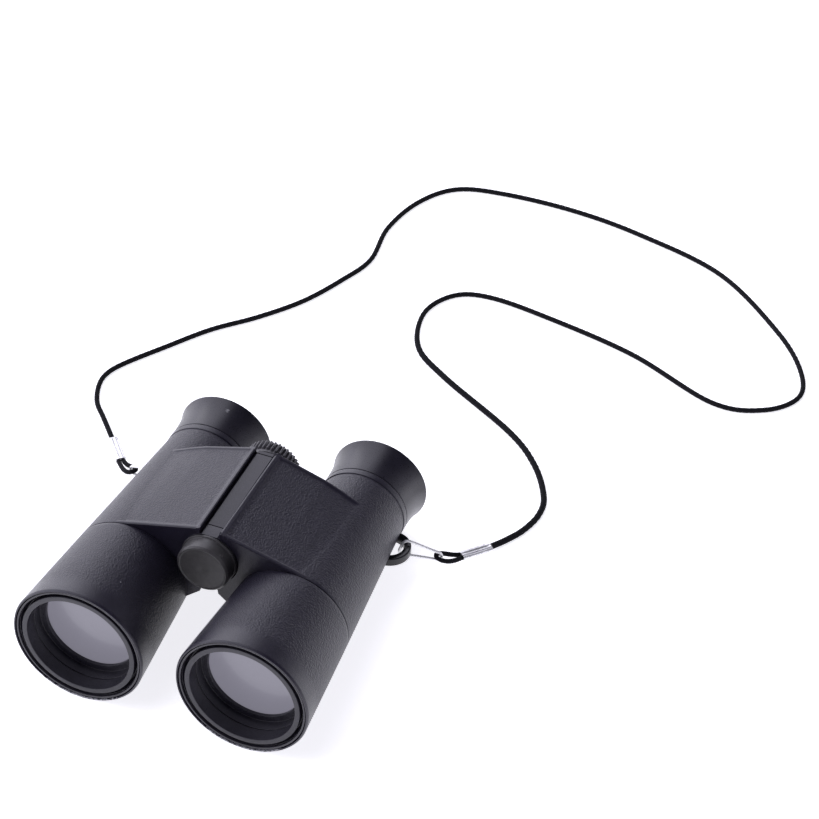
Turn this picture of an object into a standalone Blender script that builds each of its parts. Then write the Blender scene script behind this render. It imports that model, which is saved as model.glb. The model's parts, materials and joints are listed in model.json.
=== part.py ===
"""Toy binoculars with a neck cord, resting on a flat surface.

Barrel frame: X to the right, Y from the objectives to the eyecups, Z up from the plane of the two barrel
axes. The whole instrument leans back by REST_TILT, so that both objective rims and both eyecup rims touch
the surface. All lengths are in metres.
"""
import math

import bmesh
import bpy
from mathutils import Matrix, Vector

MM = 0.001
GAP = 0.3 * MM

# Barrels: the two axes lie at X = -BARREL_X and +BARREL_X
BARREL_X = 31.3 * MM
FRONT_RADIUS = 25.0 * MM
SEAM_RADIUS = 21.8 * MM
SEAM_Y = 42.7 * MM
REAR_RADIUS = 16.72 * MM
REAR_Y = 105.1 * MM
BODY_END_Y = 107.9 * MM
END_RING_RADIUS = 16.9 * MM
SPIGOT_LENGTH = 5.3 * MM
WALL = 2.0 * MM
BARREL_STEPS = 32
SMALL_STEPS = 24

# Eyecups
CUP_Y = 108.2 * MM
CUP_RADIUS = 16.9 * MM
RIM_Y = 123.1 * MM
RIM_RADIUS = 18.58 * MM
SLEEVE_Y = 92.0 * MM
SLEEVE_RADIUS = 14.7 * MM
SLEEVE_BORE = 12.9 * MM

# Ocular tubes, which slide in the eyecup sleeves
OCULAR_RADIUS = 12.6 * MM
OCULAR_BORE = 11.2 * MM
OCULAR_FRONT_Y = 70.0 * MM
OCULAR_REAR_Y = 116.0 * MM

# Central hinge, parallel to Y
HINGE_Z = 17.6 * MM
KNUCKLE_RADIUS = 10.6 * MM
KNUCKLE_CLEARANCE = 10.9 * MM
FRONT_EAR_Y = (42.65 * MM, 48.0 * MM)
TUBE_Y = (48.3 * MM, 89.6 * MM)
REAR_EAR_Y = (89.9 * MM, 91.5 * MM)
TUBE_BORE = 8.6 * MM
TUBE_BORE_Y = 53.0 * MM
SPINDLE_RADIUS = 2.5 * MM
SPINDLE_HOLE = 2.9 * MM

# Bridge wings
WING_FRONT_Y = 42.75 * MM
WING_REAR_Y = 91.0 * MM
WEB_ANGLE = {"right": math.radians(-80), "left": math.radians(-76)}
VEE_Z = 3.7 * MM
VEE_SLOPE = -0.85
# Top skin of a wing as (x, z) in millimetres, from the inner edge to inside the barrel
WING_TOP_FRONT = [(3.8, 30.0), (18.0, 26.17), (23.7, 24.63), (32.0, 22.38), (36.9, 21.06), (40.0, 18.0)]
WING_TOP_REAR = [(4.0, 29.4), (18.0, 25.0), (23.7, 23.2), (32.0, 19.5), (37.0, 17.7), (40.0, 15.0)]
# Points of a wing inside the barrel, where its underside leaves the barrel, and along its hinge side
WING_HEART = (33.0, 5.0)
WING_ROOT_FRONT = (14.0, -8.2)
WING_ROOT_REAR = (20.0, -13.0)
WING_INNER = (3.8, 26.0)
WEB_ROOT_RADIUS = 9.0 * MM
# Floor of a wing's hollow, the height of its skin inside, and where that skin starts about the hinge
HOLLOW_FLOOR = [(6.8, 0.6), (13.0, -4.6), (20.0, -6.0), (28.0, 10.0)]
HOLLOW_SKIN_X = 26.0
HOLLOW_SKIN_Z = (21.6, 20.0)
HOLLOW_ANGLE = (math.radians(43), math.radians(38))

# Focus gear
ARM_ANGLE = -math.atan2(HINGE_Z, BARREL_X)
AXIS_DISTANCE = math.hypot(HINGE_Z, BARREL_X)
ARM_THICKNESS = 4.0 * MM
ARM_WIDTH = 4.0 * MM
ARM_INNER = 7.0 * MM
ARM_SLOT = (6.0 * MM, 16.0 * MM)
ARM_SLOT_ROOM = 0.8 * MM
LEFT_ARM_FAN = (math.radians(168), math.radians(250))
LEFT_ARM_FAN_RADIUS = 12.0 * MM
FOCUS_TRAVEL = 3.0 * MM
NUT_Y = (66.0 * MM, 77.0 * MM)
RIGHT_ARM_Y = 74.0 * MM
LEFT_ARM_Y = 79.3 * MM
NUT_END_Y = 83.6 * MM
NECK_RADIUS = 5.0 * MM
NUT_RADIUS = 8.2 * MM
WHEEL_Y = (92.0 * MM, 98.0 * MM)
WHEEL_RADIUS = 10.8 * MM
WHEEL_RIBS = 38
WHEEL_RIB_DEPTH = 0.7 * MM
WHEEL_BAND = 1.2 * MM
SCREW_START_Y = 56.0 * MM
SCREW_PITCH = 6.0 * MM
SCREW_TURNS = 5
SCREW_DEPTH = 0.4 * MM

# Hinge cap
CAP_FRONT_Y = 36.1 * MM
CAP_REAR_Y = 42.35 * MM
CAP_RADIUS = 9.9 * MM
CAP_FLANGE_RADIUS = 10.5 * MM

# Strap lugs, wire clips, ferrules and the cord
LUG_CENTRE = Vector((45.6, 98.4, -8.0)) * MM
LUG_OUTER = 7.9 * MM
LUG_INNER = 5.2 * MM
LUG_HEIGHT = 3.4 * MM
WIRE_RADIUS = 0.55 * MM
CLIP_BASE_RADIUS = 4.1 * MM
CLIP_BASE_RISE = 0.5 * MM
CLIP_TIP = {"right": Vector((62.6, 106.9, -13.2)) * MM, "left": Vector((-62.7, 105.3, -13.4)) * MM}
FERRULE_IN = {"right": Vector((68.1, 113.3, -16.1)) * MM, "left": Vector((-70.2, 111.5, -16.2)) * MM}
FERRULE_OUT = {"right": Vector((75.75, 123.1, -17.1)) * MM, "left": Vector((-79.0, 122.2, -17.15)) * MM}
FERRULE_HALF_WIDTH = 2.2 * MM
FERRULE_HALF_HEIGHT = 1.3 * MM
CORD_RADIUS = 1.0 * MM
EYE_CORD_RADIUS = 0.9 * MM
EYE_CLEARANCE = 0.45 * MM
CORD_POINTS = 80
EYE_POINTS = 26
CLIP_POINTS = 36

# Upper and lower half of the wire clip: (share of its length, half opening in millimetres)
CLIP_UPPER = [
    (0.0, 1.6), (0.03, 2.9), (0.10, 3.5), (0.21, 3.4), (0.50, 2.7), (0.78, 2.0), (0.92, 1.65), (0.98, 0.9),
]
CLIP_LOWER = [
    (0.0, 1.3), (0.015, 2.3), (0.06, 3.0), (0.12, 3.1), (0.50, 2.3), (0.78, 1.8), (0.92, 1.65), (0.98, 0.9),
]

# Half of each cord eye: (share of its length from the clip's tip, half opening in millimetres)
EYE_HALF = {
    "right": [(0.0, 0.7), (0.07, 1.5), (0.2, 2.0), (0.4, 2.1), (0.65, 1.6), (0.88, 1.0), (1.0, 0.92)],
    "left": [(0.0, 0.7), (0.07, 1.5), (0.2, 1.9), (0.4, 1.6), (0.65, 1.15), (0.88, 0.94), (1.0, 0.92)],
}

# Resting lean about X, and the shift that centres the instrument on the origin
REST_TILT = math.atan2(FRONT_RADIUS - RIM_RADIUS, RIM_Y - 0.8 * MM)
REST_HEIGHT = 25.01 * MM
REAR_REACH = RIM_Y * math.cos(REST_TILT) + RIM_RADIUS * math.sin(REST_TILT)
FRONT_REACH = -FRONT_RADIUS * math.sin(REST_TILT)
CENTRE_SHIFT = -0.5 * (REAR_REACH + FRONT_REACH)

SIDES = {"right": 1, "left": -1}

# Cord route on the surface, from the left ferrule to the right one, as (x, y, height of the centreline)
CORD_ROUTE = [
    (-79.4, 60.3, 1.45), (-83.9, 65.5, 1.0), (-88.5, 70.6, 1.0), (-94.2, 77.0, 1.0), (-97.8, 85.5, 1.0),
    (-98.2, 93.0, 1.0), (-94.5, 101.2, 1.0), (-83.6, 116.4, 1.0), (-71.5, 132.5, 1.0), (-57.3, 146.6, 1.0),
    (-44.5, 162.5, 1.0), (-35.2, 180.5, 1.0), (-29.5, 196.5, 1.0), (-30.8, 218.0, 1.0), (-25.5, 238.3, 1.0),
    (-13.9, 252.3, 1.0), (6.0, 257.0, 1.0), (36.0, 257.6, 1.0), (66.7, 253.3, 1.0), (104.9, 242.0, 1.0),
    (136.6, 217.6, 1.0), (152.5, 198.5, 1.0), (156.6, 183.0, 1.0), (146.0, 170.9, 1.0), (126.0, 167.5, 1.0),
    (88.3, 182.2, 1.0), (49.5, 190.3, 1.0), (24.0, 193.0, 1.0), (10.0, 188.3, 1.0), (3.2, 174.0, 1.0),
    (8.7, 154.4, 1.0), (25.0, 141.5, 1.0), (59.5, 122.0, 1.0), (75.0, 108.5, 1.0), (84.3, 94.0, 1.0),
    (86.2, 84.0, 1.0), (83.9, 74.3, 1.0), (79.9, 67.0, 1.0), (76.1, 61.2, 1.45),
]


def clear_scene():
    """Leave nothing in the file from an earlier run."""
    for obj in list(bpy.data.objects):
        bpy.data.objects.remove(obj, do_unlink=True)


def make_collection(name):
    collection = bpy.data.collections.new(name)
    bpy.context.scene.collection.children.link(collection)
    return collection


def make_material(name, colour, roughness, metallic=0.0):
    """A Principled BSDF with the part's colour, roughness and metallic value."""
    material = bpy.data.materials.new(name)
    material.use_nodes = True
    shader = material.node_tree.nodes["Principled BSDF"]
    shader.inputs["Base Color"].default_value = (*colour, 1.0)
    shader.inputs["Roughness"].default_value = roughness
    shader.inputs["Metallic"].default_value = metallic
    return material


def make_frame(name, parent, location):
    """An empty whose place is given in its parent's frame."""
    frame = bpy.data.objects.new(name, None)
    parts.objects.link(frame)
    frame.parent = parent
    frame.location = location
    return frame


def place(obj, frame, location=(0, 0, 0), rotation=(0, 0, 0), colour=None):
    """Put obj into the model at a place given in the barrel frame (or the ground's, for the cord)."""
    offset = Vector(frame.location) if frame.parent else Vector((0, 0, 0))
    obj.parent = frame
    obj.location = Vector(location) - offset
    obj.rotation_euler = rotation
    if colour:
        obj.data.materials.append(colour)
        parts.objects.link(obj)
    else:
        obj.hide_render = True
        obj.display_type = "WIRE"
        cutters.objects.link(obj)
    return obj


def smooth(mesh):
    mesh.shade_smooth()
    mesh.set_sharp_from_angle(angle=math.radians(35))


def profile_area(points):
    """Signed area of a closed outline in the plane of radius and station."""
    pairs = zip(points, points[1:] + points[:1])
    return 0.5 * sum(a[0] * b[1] - b[0] * a[1] for a, b in pairs)


def turned(name, profile, steps=BARREL_STEPS):
    """A solid of revolution about local Z from its (radius, station) outline, closed by Screw."""
    if profile_area(profile) > 0:
        profile = profile[::-1]
    on_axis = [i for i, point in enumerate(profile) if point[0] == 0]
    closed = not on_axis
    if on_axis:
        start = next(i for i in on_axis if profile[(i + 1) % len(profile)][0] > 0)
        profile = profile[start:] + profile[:start]
    edges = [(i, i + 1) for i in range(len(profile) - 1)]
    if closed:
        edges.append((len(profile) - 1, 0))
    mesh = bpy.data.meshes.new(name)
    mesh.from_pydata([(radius, 0.0, station) for radius, station in profile], edges, [])
    obj = bpy.data.objects.new(name, mesh)
    screw = obj.modifiers.new("Revolve", "SCREW")
    screw.axis = "Z"
    screw.steps = steps
    screw.render_steps = steps
    screw.use_merge_vertices = True
    screw.merge_threshold = 0.00001
    screw.use_smooth_shade = True
    return obj


ALONG_Y = (-math.pi / 2, 0, 0)


def barrel_turned(name, profile, side, frame, colour=None, steps=BARREL_STEPS):
    """A turned piece on one barrel's axis; its stations are Y in the barrel frame."""
    axis = (SIDES[side] * BARREL_X, 0, 0)
    return place(turned(name, profile, steps), frame, axis, ALONG_Y, colour)


def hinge_turned(name, profile, frame, colour=None, steps=SMALL_STEPS):
    """A turned piece on the hinge axis."""
    return place(turned(name, profile, steps), frame, (0, 0, HINGE_Z), ALONG_Y, colour)


def rod_profile(radius, span):
    return [(0, span[0]), (radius, span[0]), (radius, span[1]), (0, span[1])]


def ring_profile(inner, outer, span):
    return [(inner, span[0]), (outer, span[0]), (outer, span[1]), (inner, span[1])]


def boolean(obj, cutter, operation="DIFFERENCE", solver="EXACT"):
    modifier = obj.modifiers.new(operation.title(), "BOOLEAN")
    modifier.operation = operation
    modifier.solver = solver
    modifier.object = cutter


def loft(name, sections):
    """A closed solid through outlines of equal length, each a list of 3-D points."""
    mesh = bpy.data.meshes.new(name)
    form = bmesh.new()
    rings = [[form.verts.new(point) for point in section] for section in sections]
    count = len(rings[0])
    for near, far in zip(rings, rings[1:]):
        for i in range(count):
            j = (i + 1) % count
            form.faces.new((near[i], near[j], far[j], far[i]))
    bmesh.ops.triangulate(form, faces=form.faces)
    form.faces.new(rings[0])
    form.faces.new(rings[-1])
    bmesh.ops.recalc_face_normals(form, faces=form.faces)
    form.to_mesh(mesh)
    form.free()
    return bpy.data.objects.new(name, mesh)


def barrel_radius(y):
    """Outer radius of the rear body's cone."""
    return SEAM_RADIUS + (REAR_RADIUS - SEAM_RADIUS) * (y - SEAM_Y) / (REAR_Y - SEAM_Y)


def polar(radius, angle):
    """Point about the hinge axis in the XZ plane, in metres."""
    return (radius * math.cos(angle), HINGE_Z + radius * math.sin(angle))


def web_tip(side):
    """Where the underside of the bridge ends, on the radial face of its web."""
    angle = WEB_ANGLE[side]
    reach = (HINGE_Z - VEE_Z) / (VEE_SLOPE * math.cos(angle) - math.sin(angle))
    return polar(reach, angle)


def wing_section(side, y, top, root):
    """Outline of one wing at station y: skin, through the barrel, underside, web and hinge side."""
    skin = [(x * MM, z * MM) for x, z in top + [WING_HEART, root]]
    inner = [web_tip(side), polar(WEB_ROOT_RADIUS, WEB_ANGLE[side])]
    outline = skin + inner + [(WING_INNER[0] * MM, WING_INNER[1] * MM)]
    return [(SIDES[side] * x, y, z) for x, z in outline]


def cavity_section(side, y, top_angle, skin_z):
    """Outline of a wing's hollow at station y, open into the barrel's bore."""
    wall_radius = KNUCKLE_CLEARANCE + WALL
    low_angle = WEB_ANGLE[side] + math.radians(12)
    count = 6
    arc = [polar(wall_radius, top_angle + (low_angle - top_angle) * i / count) for i in range(count + 1)]
    floor = HOLLOW_FLOOR + [(HOLLOW_SKIN_X, skin_z)]
    outline = arc + [(x * MM, z * MM) for x, z in floor]
    return [(SIDES[side] * x, y, z) for x, z in outline]


def wing_solid(side):
    front = wing_section(side, WING_FRONT_Y, WING_TOP_FRONT, WING_ROOT_FRONT)
    rear = wing_section(side, WING_REAR_Y, WING_TOP_REAR, WING_ROOT_REAR)
    return place(loft(f"{side}_wing_solid", [front, rear]), tilt)


def wing_cavity(side):
    front = cavity_section(side, WING_FRONT_Y + WALL, HOLLOW_ANGLE[0], HOLLOW_SKIN_Z[0])
    rear = cavity_section(side, WING_REAR_Y - WALL, HOLLOW_ANGLE[1], HOLLOW_SKIN_Z[1])
    return place(loft(f"{side}_wing_cavity", [front, rear]), tilt)


def radial_box(name, side, radii, width, span):
    """A box reaching from the hinge axis towards a barrel's axis, between two radii and two stations."""
    form = bmesh.new()
    bmesh.ops.create_cube(form, size=1.0)
    length = radii[1] - radii[0]
    bmesh.ops.scale(form, vec=(length, span[1] - span[0], width), verts=form.verts)
    middle = (0.5 * (radii[0] + radii[1]), 0.5 * (span[0] + span[1]), 0)
    bmesh.ops.translate(form, vec=middle, verts=form.verts)
    mesh = bpy.data.meshes.new(name)
    form.to_mesh(mesh)
    form.free()
    obj = bpy.data.objects.new(name, mesh)
    turn = -ARM_ANGLE if side == "right" else math.pi + ARM_ANGLE
    return place(obj, tilt, (0, 0, HINGE_Z), (0, turn, 0))


def fan_cutter(name, start, stop, radius, span):
    """A sector about the hinge axis, for the slot that a swinging arm needs."""
    count = 6
    angles = [start + (stop - start) * i / count for i in range(count + 1)]
    outline = [(0.0, HINGE_Z)] + [polar(radius, angle) for angle in angles]
    sections = [[(x, y, z) for x, z in outline] for y in span]
    return place(loft(name, sections), tilt)


def arm_span(y, margin=0.0):
    """Stations of an arm's two faces, with room on each side."""
    return (y - 0.5 * ARM_THICKNESS - margin, y + 0.5 * ARM_THICKNESS + margin)


def barrel_body(side, frame, colour):
    """One moulded half: rear barrel, hollow bridge wing and its hinge knuckle or ears."""
    outline = [
        (0, SEAM_Y), (SEAM_RADIUS, SEAM_Y), (REAR_RADIUS, REAR_Y), (END_RING_RADIUS, REAR_Y + 0.15 * MM),
        (END_RING_RADIUS, BODY_END_Y), (0, BODY_END_Y),
    ]
    body = barrel_turned(f"{side}_body", outline, side, frame, colour)

    def cut(cutter, operation="DIFFERENCE"):
        boolean(body, cutter, operation, "MANIFOLD")

    cut(wing_solid(side), "UNION")
    knuckle_span = (FRONT_EAR_Y[0], REAR_EAR_Y[1]) if side == "left" else (45.0 * MM, 90.5 * MM)
    knuckle = hinge_turned(f"{side}_knuckle", rod_profile(KNUCKLE_RADIUS, knuckle_span), tilt, steps=32)
    cut(knuckle, "UNION")
    if side == "left":
        pockets = [(FRONT_EAR_Y[1], REAR_EAR_Y[0])]
    else:
        pockets = [(40.0 * MM, TUBE_Y[0]), (TUBE_Y[1], 95.0 * MM)]
    for number, span in enumerate(pockets, 1):
        pocket = rod_profile(KNUCKLE_CLEARANCE, span)
        cut(hinge_turned(f"{side}_pocket_{number}", pocket, tilt, steps=32))
    bore = [
        (0, 40.0 * MM), (19.7 * MM, 40.0 * MM), (19.7 * MM, 48.6 * MM), (19.2 * MM, 48.9 * MM),
        (15.8 * MM, SLEEVE_Y), (SLEEVE_RADIUS + GAP, 103.0 * MM), (SLEEVE_RADIUS + GAP, 110.0 * MM),
        (0, 110.0 * MM),
    ]
    cut(barrel_turned(f"{side}_bore", bore, side, tilt))
    cut(wing_cavity(side))
    hole = rod_profile(SPINDLE_HOLE, (38.0 * MM, 96.0 * MM))
    cut(hinge_turned(f"{side}_spindle_hole", hole, tilt))
    room = FOCUS_TRAVEL + 0.5 * MM
    arm_y = RIGHT_ARM_Y if side == "right" else LEFT_ARM_Y
    slot_width = ARM_WIDTH + ARM_SLOT_ROOM
    cut(radial_box(f"{side}_arm_slot", side, ARM_SLOT, slot_width, arm_span(arm_y, room)))
    if side == "right":
        tube_bore = rod_profile(TUBE_BORE, (TUBE_BORE_Y, 95.0 * MM))
        cut(hinge_turned("tube_bore", tube_bore, tilt))
        cut(fan_cutter("left_arm_fan", *LEFT_ARM_FAN, LEFT_ARM_FAN_RADIUS, arm_span(LEFT_ARM_Y, room)))
    return body


def objective_tube(side, frame, colour):
    """Conical front tube with a rounded rim, a lens seat inside and a spigot into the body."""
    outline = [
        (24.2 * MM, 0.1 * MM), (24.6 * MM, 0.0), (FRONT_RADIUS, 0.8 * MM), (21.83 * MM, SEAM_Y - GAP),
        (19.4 * MM, SEAM_Y - GAP), (19.4 * MM, SEAM_Y + SPIGOT_LENGTH), (18.0 * MM, SEAM_Y + SPIGOT_LENGTH),
        (18.0 * MM, 41.5 * MM), (20.4 * MM, 38.0 * MM), (22.1 * MM, 16.5 * MM), (17.9 * MM, 16.5 * MM),
        (17.9 * MM, 14.8 * MM), (22.3 * MM, 14.8 * MM), (22.8 * MM, 2.4 * MM), (24.2 * MM, 2.2 * MM),
    ]
    return barrel_turned(f"{side}_objective_tube", outline, side, frame, colour)


def objective_bezel(side, frame, colour):
    """Front ring: thin outer lip, deep groove, flat inner ring and a short bore."""
    outline = [
        (23.1 * MM, 0.4 * MM), (23.8 * MM, 0.4 * MM), (23.85 * MM, 1.9 * MM), (22.45 * MM, 2.2 * MM),
        (22.4 * MM, 6.0 * MM), (19.8 * MM, 6.0 * MM), (19.8 * MM, 0.56 * MM), (21.7 * MM, 0.56 * MM),
        (21.7 * MM, 3.6 * MM), (22.0 * MM, 3.6 * MM), (23.0 * MM, 1.2 * MM),
    ]
    return barrel_turned(f"{side}_bezel", outline, side, frame, colour)


def lens_retainer(side, frame, colour):
    """Sleeve behind the bezel, with the ledge that frames the lens."""
    outline = [
        (19.8 * MM, 6.3 * MM), (21.9 * MM, 6.3 * MM), (21.8 * MM, 11.8 * MM), (17.5 * MM, 11.8 * MM),
        (17.5 * MM, 10.5 * MM), (19.9 * MM, 10.5 * MM),
    ]
    return barrel_turned(f"{side}_lens_retainer", outline, side, frame, colour)


def objective_lens(side, frame, colour):
    """Shallow biconvex disc held between the retainer and the tube's seat."""
    outline = [
        (0, 11.7 * MM), (9.0 * MM, 11.85 * MM), (17.0 * MM, 12.15 * MM), (19.6 * MM, 12.15 * MM),
        (19.6 * MM, 14.4 * MM), (9.0 * MM, 15.0 * MM), (0, 15.2 * MM),
    ]
    return barrel_turned(f"{side}_objective_lens", outline, side, frame, colour)


def cup_flare(fraction):
    """Radius of the cup's outside: nearly straight at first, then curling out to the rim."""
    return CUP_RADIUS + (RIM_RADIUS - CUP_RADIUS) * fraction ** 3


def eyecup(side, frame, colour):
    """Flared rubber-like cup with a sleeve that plugs into the body and guides the ocular tube."""
    outer = []
    inner = []
    count = 6
    for i in range(count + 1):
        fraction = i / count
        y = CUP_Y + (RIM_Y - CUP_Y) * fraction
        outer.append((cup_flare(fraction), y))
        inner.append((14.2 * MM + 3.8 * MM * fraction ** 1.4, max(y, CUP_Y + 2.0 * MM)))
    inner = inner[:0:-1]
    outline = outer + inner + [
        (SLEEVE_BORE, CUP_Y + 2.0 * MM), (SLEEVE_BORE, SLEEVE_Y), (SLEEVE_RADIUS, SLEEVE_Y),
        (SLEEVE_RADIUS, CUP_Y),
    ]
    return barrel_turned(f"{side}_eyecup", outline, side, frame, colour)


def ocular_tube(side, frame, colour):
    """Plain sliding tube with a seat for the eye lens."""
    outline = [
        (OCULAR_BORE, OCULAR_FRONT_Y), (OCULAR_RADIUS, OCULAR_FRONT_Y), (OCULAR_RADIUS, OCULAR_REAR_Y),
        (OCULAR_BORE, OCULAR_REAR_Y), (OCULAR_BORE, 112.0 * MM), (9.8 * MM, 112.0 * MM),
        (9.8 * MM, 110.6 * MM), (OCULAR_BORE, 110.6 * MM),
    ]
    return barrel_turned(f"{side}_ocular_tube", outline, side, frame, colour, SMALL_STEPS)


def ocular_lens(side, frame, colour):
    outline = [
        (0, 111.2 * MM), (9.0 * MM, 111.9 * MM), (9.6 * MM, 112.3 * MM), (10.9 * MM, 112.3 * MM),
        (10.9 * MM, 114.0 * MM), (6.0 * MM, 115.0 * MM), (0, 115.4 * MM),
    ]
    return barrel_turned(f"{side}_ocular_lens", outline, side, frame, colour, SMALL_STEPS)


def hinge_cap(frame, colour):
    """Round cap over the front end of the hinge: chamfered face, plain side, thin flange."""
    outline = [
        (0, CAP_FRONT_Y), (9.5 * MM, CAP_FRONT_Y), (CAP_RADIUS, CAP_FRONT_Y + 0.4 * MM),
        (CAP_RADIUS, 41.5 * MM), (CAP_FLANGE_RADIUS, 41.7 * MM), (CAP_FLANGE_RADIUS, CAP_REAR_Y),
        (8.3 * MM, CAP_REAR_Y), (8.3 * MM, CAP_FRONT_Y + 1.8 * MM), (0, CAP_FRONT_Y + 1.8 * MM),
    ]
    return hinge_turned("hinge_cap", outline, frame, colour, BARREL_STEPS)


def focus_wheel(frame, colour):
    """Ribbed wheel with a smooth band in front and a hole for the spindle."""
    form = bmesh.new()
    ribbed_length = WHEEL_Y[1] - WHEEL_Y[0] - WHEEL_BAND
    bmesh.ops.create_cone(
        form, cap_ends=True, segments=2 * WHEEL_RIBS, radius1=1.0, radius2=1.0, depth=ribbed_length
    )
    middle = WHEEL_Y[1] - 0.5 * ribbed_length
    for vert in form.verts:
        step = round(math.atan2(vert.co.y, vert.co.x) / (math.pi / WHEEL_RIBS))
        radius = WHEEL_RADIUS if step % 2 else WHEEL_RADIUS - WHEEL_RIB_DEPTH
        vert.co = Vector((vert.co.x * radius, vert.co.y * radius, vert.co.z + middle))
    mesh = bpy.data.meshes.new("focus_wheel")
    form.to_mesh(mesh)
    form.free()
    wheel = place(bpy.data.objects.new("focus_wheel", mesh), frame, (0, 0, HINGE_Z), ALONG_Y, colour)
    band = rod_profile(WHEEL_RADIUS - 0.9 * MM, (WHEEL_Y[0], WHEEL_Y[0] + 2.0 * MM))
    boolean(wheel, hinge_turned("wheel_band", band, tilt), "UNION")
    hole = rod_profile(SPINDLE_RADIUS + GAP, (90.0 * MM, 99.0 * MM))
    boolean(wheel, hinge_turned("wheel_hole", hole, tilt))
    smooth(mesh)
    return wheel


def focus_spindle(frame, colour):
    """Hinge pin and focus screw in one: plain bearings, a coarse screw and a groove for its washer."""
    crest = SPINDLE_RADIUS
    root = SPINDLE_RADIUS - SCREW_DEPTH
    outline = [(0, 38.6 * MM), (root, 38.6 * MM), (crest, 39.0 * MM), (crest, 41.1 * MM)]
    outline += [(root, 41.1 * MM), (root, 42.5 * MM), (crest, 42.5 * MM)]
    for i in range(SCREW_TURNS):
        y = SCREW_START_Y + SCREW_PITCH * i
        outline += [(crest, y), (root, y + 0.2 * SCREW_PITCH), (root, y + 0.8 * SCREW_PITCH)]
    outline += [(crest, SCREW_START_Y + SCREW_PITCH * SCREW_TURNS), (crest, 97.6 * MM), (0, 97.6 * MM)]
    return hinge_turned("focus_spindle", outline, frame, colour, 16)


def spindle_washer(frame, colour):
    outline = ring_profile(SPINDLE_RADIUS - 0.1 * MM, 5.6 * MM, (41.3 * MM, 42.3 * MM))
    return hinge_turned("spindle_washer", outline, frame, colour, 20)


def focus_nut(frame, colour):
    """Nut on the spindle with a neck for the left arm's ring, and the arm that moves the right tube."""
    bore = SPINDLE_RADIUS + GAP
    neck_end = NUT_END_Y - 2.0 * MM
    outline = [
        (bore, NUT_Y[0]), (NUT_RADIUS, NUT_Y[0]), (NUT_RADIUS, NUT_Y[1]), (NECK_RADIUS, NUT_Y[1]),
        (NECK_RADIUS, neck_end), (NUT_RADIUS, neck_end), (NUT_RADIUS, NUT_END_Y), (bore, NUT_END_Y),
    ]
    nut = hinge_turned("focus_nut", outline, frame, colour)
    reach = (ARM_INNER, AXIS_DISTANCE - OCULAR_RADIUS - GAP - 0.1 * MM)
    arm = radial_box("right_arm_solid", "right", reach, ARM_WIDTH, arm_span(RIGHT_ARM_Y))
    boolean(nut, arm, "UNION")
    return nut


def left_focus_arm(frame, colour):
    """Ring that turns on the nut's neck, with the arm that moves the left tube."""
    outline = ring_profile(NECK_RADIUS + GAP, NUT_RADIUS, arm_span(LEFT_ARM_Y))
    ring = hinge_turned("left_focus_arm", outline, frame, colour)
    reach = (ARM_INNER, AXIS_DISTANCE - OCULAR_RADIUS - GAP - 0.1 * MM)
    span = arm_span(LEFT_ARM_Y, -0.4 * MM)
    boolean(ring, radial_box("left_arm_solid", "left", reach, ARM_WIDTH, span), "UNION")
    return ring


def strap_lug(side, frame, colour):
    """Flat loop on the outer side of a barrel, cut to the barrel's curve."""
    half = 0.5 * LUG_HEIGHT
    bevel = 0.5 * MM
    outline = [
        (LUG_INNER, -half), (LUG_OUTER - bevel, -half), (LUG_OUTER, -half + bevel),
        (LUG_OUTER, half - bevel), (LUG_OUTER - bevel, half), (LUG_INNER, half),
    ]
    centre = Vector((SIDES[side] * LUG_CENTRE.x, LUG_CENTRE.y, LUG_CENTRE.z))
    lug = place(turned(f"{side}_strap_lug", outline), frame, centre, (0, 0, 0), colour)
    start = LUG_CENTRE.y - 3 * LUG_OUTER
    finish = LUG_CENTRE.y + 2 * LUG_OUTER
    skin = [
        (0, start), (barrel_radius(start) + GAP, start), (REAR_RADIUS + GAP, REAR_Y - GAP),
        (END_RING_RADIUS + GAP, REAR_Y - GAP), (END_RING_RADIUS + GAP, finish), (0, finish),
    ]
    boolean(lug, barrel_turned(f"{side}_lug_trim", skin, side, tilt))
    return lug


def catmull_rom(points, count, cyclic=False):
    """Evenly spaced points on a smooth curve through the given ones."""
    points = [Vector(point) for point in points]
    total = len(points)
    fine = []
    spans = total if cyclic else total - 1
    for i in range(spans):
        if cyclic:
            p0, p1, p2, p3 = (points[(i + k) % total] for k in (-1, 0, 1, 2))
        else:
            p0, p1, p2, p3 = (points[min(max(i + k, 0), total - 1)] for k in (-1, 0, 1, 2))
        for step in range(16):
            t = step / 16
            fine.append(0.5 * (2 * p1 + (p2 - p0) * t + (2 * p0 - 5 * p1 + 4 * p2 - p3) * t ** 2
                               + (3 * p1 - p0 - 3 * p2 + p3) * t ** 3))
    fine.append(points[0] if cyclic else points[-1])
    lengths = [0.0]
    for a, b in zip(fine, fine[1:]):
        lengths.append(lengths[-1] + (b - a).length)
    goals = [lengths[-1] * i / (count if cyclic else count - 1) for i in range(count)]
    result = []
    at = 0
    for goal in goals:
        while at < len(fine) - 2 and lengths[at + 1] < goal:
            at += 1
        share = (goal - lengths[at]) / (lengths[at + 1] - lengths[at])
        result.append(fine[at].lerp(fine[at + 1], share))
    return result


def tube(name, points, radius, cyclic=False):
    """A round tube along a polyline."""
    curve = bpy.data.curves.new(name, "CURVE")
    curve.dimensions = "3D"
    curve.bevel_depth = radius
    curve.bevel_resolution = 2
    curve.use_fill_caps = True
    spline = curve.splines.new("POLY")
    spline.points.add(len(points) - 1)
    for target, point in zip(spline.points, points):
        target.co = (*point, 1.0)
    spline.use_cyclic_u = cyclic
    return bpy.data.objects.new(name, curve)


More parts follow.
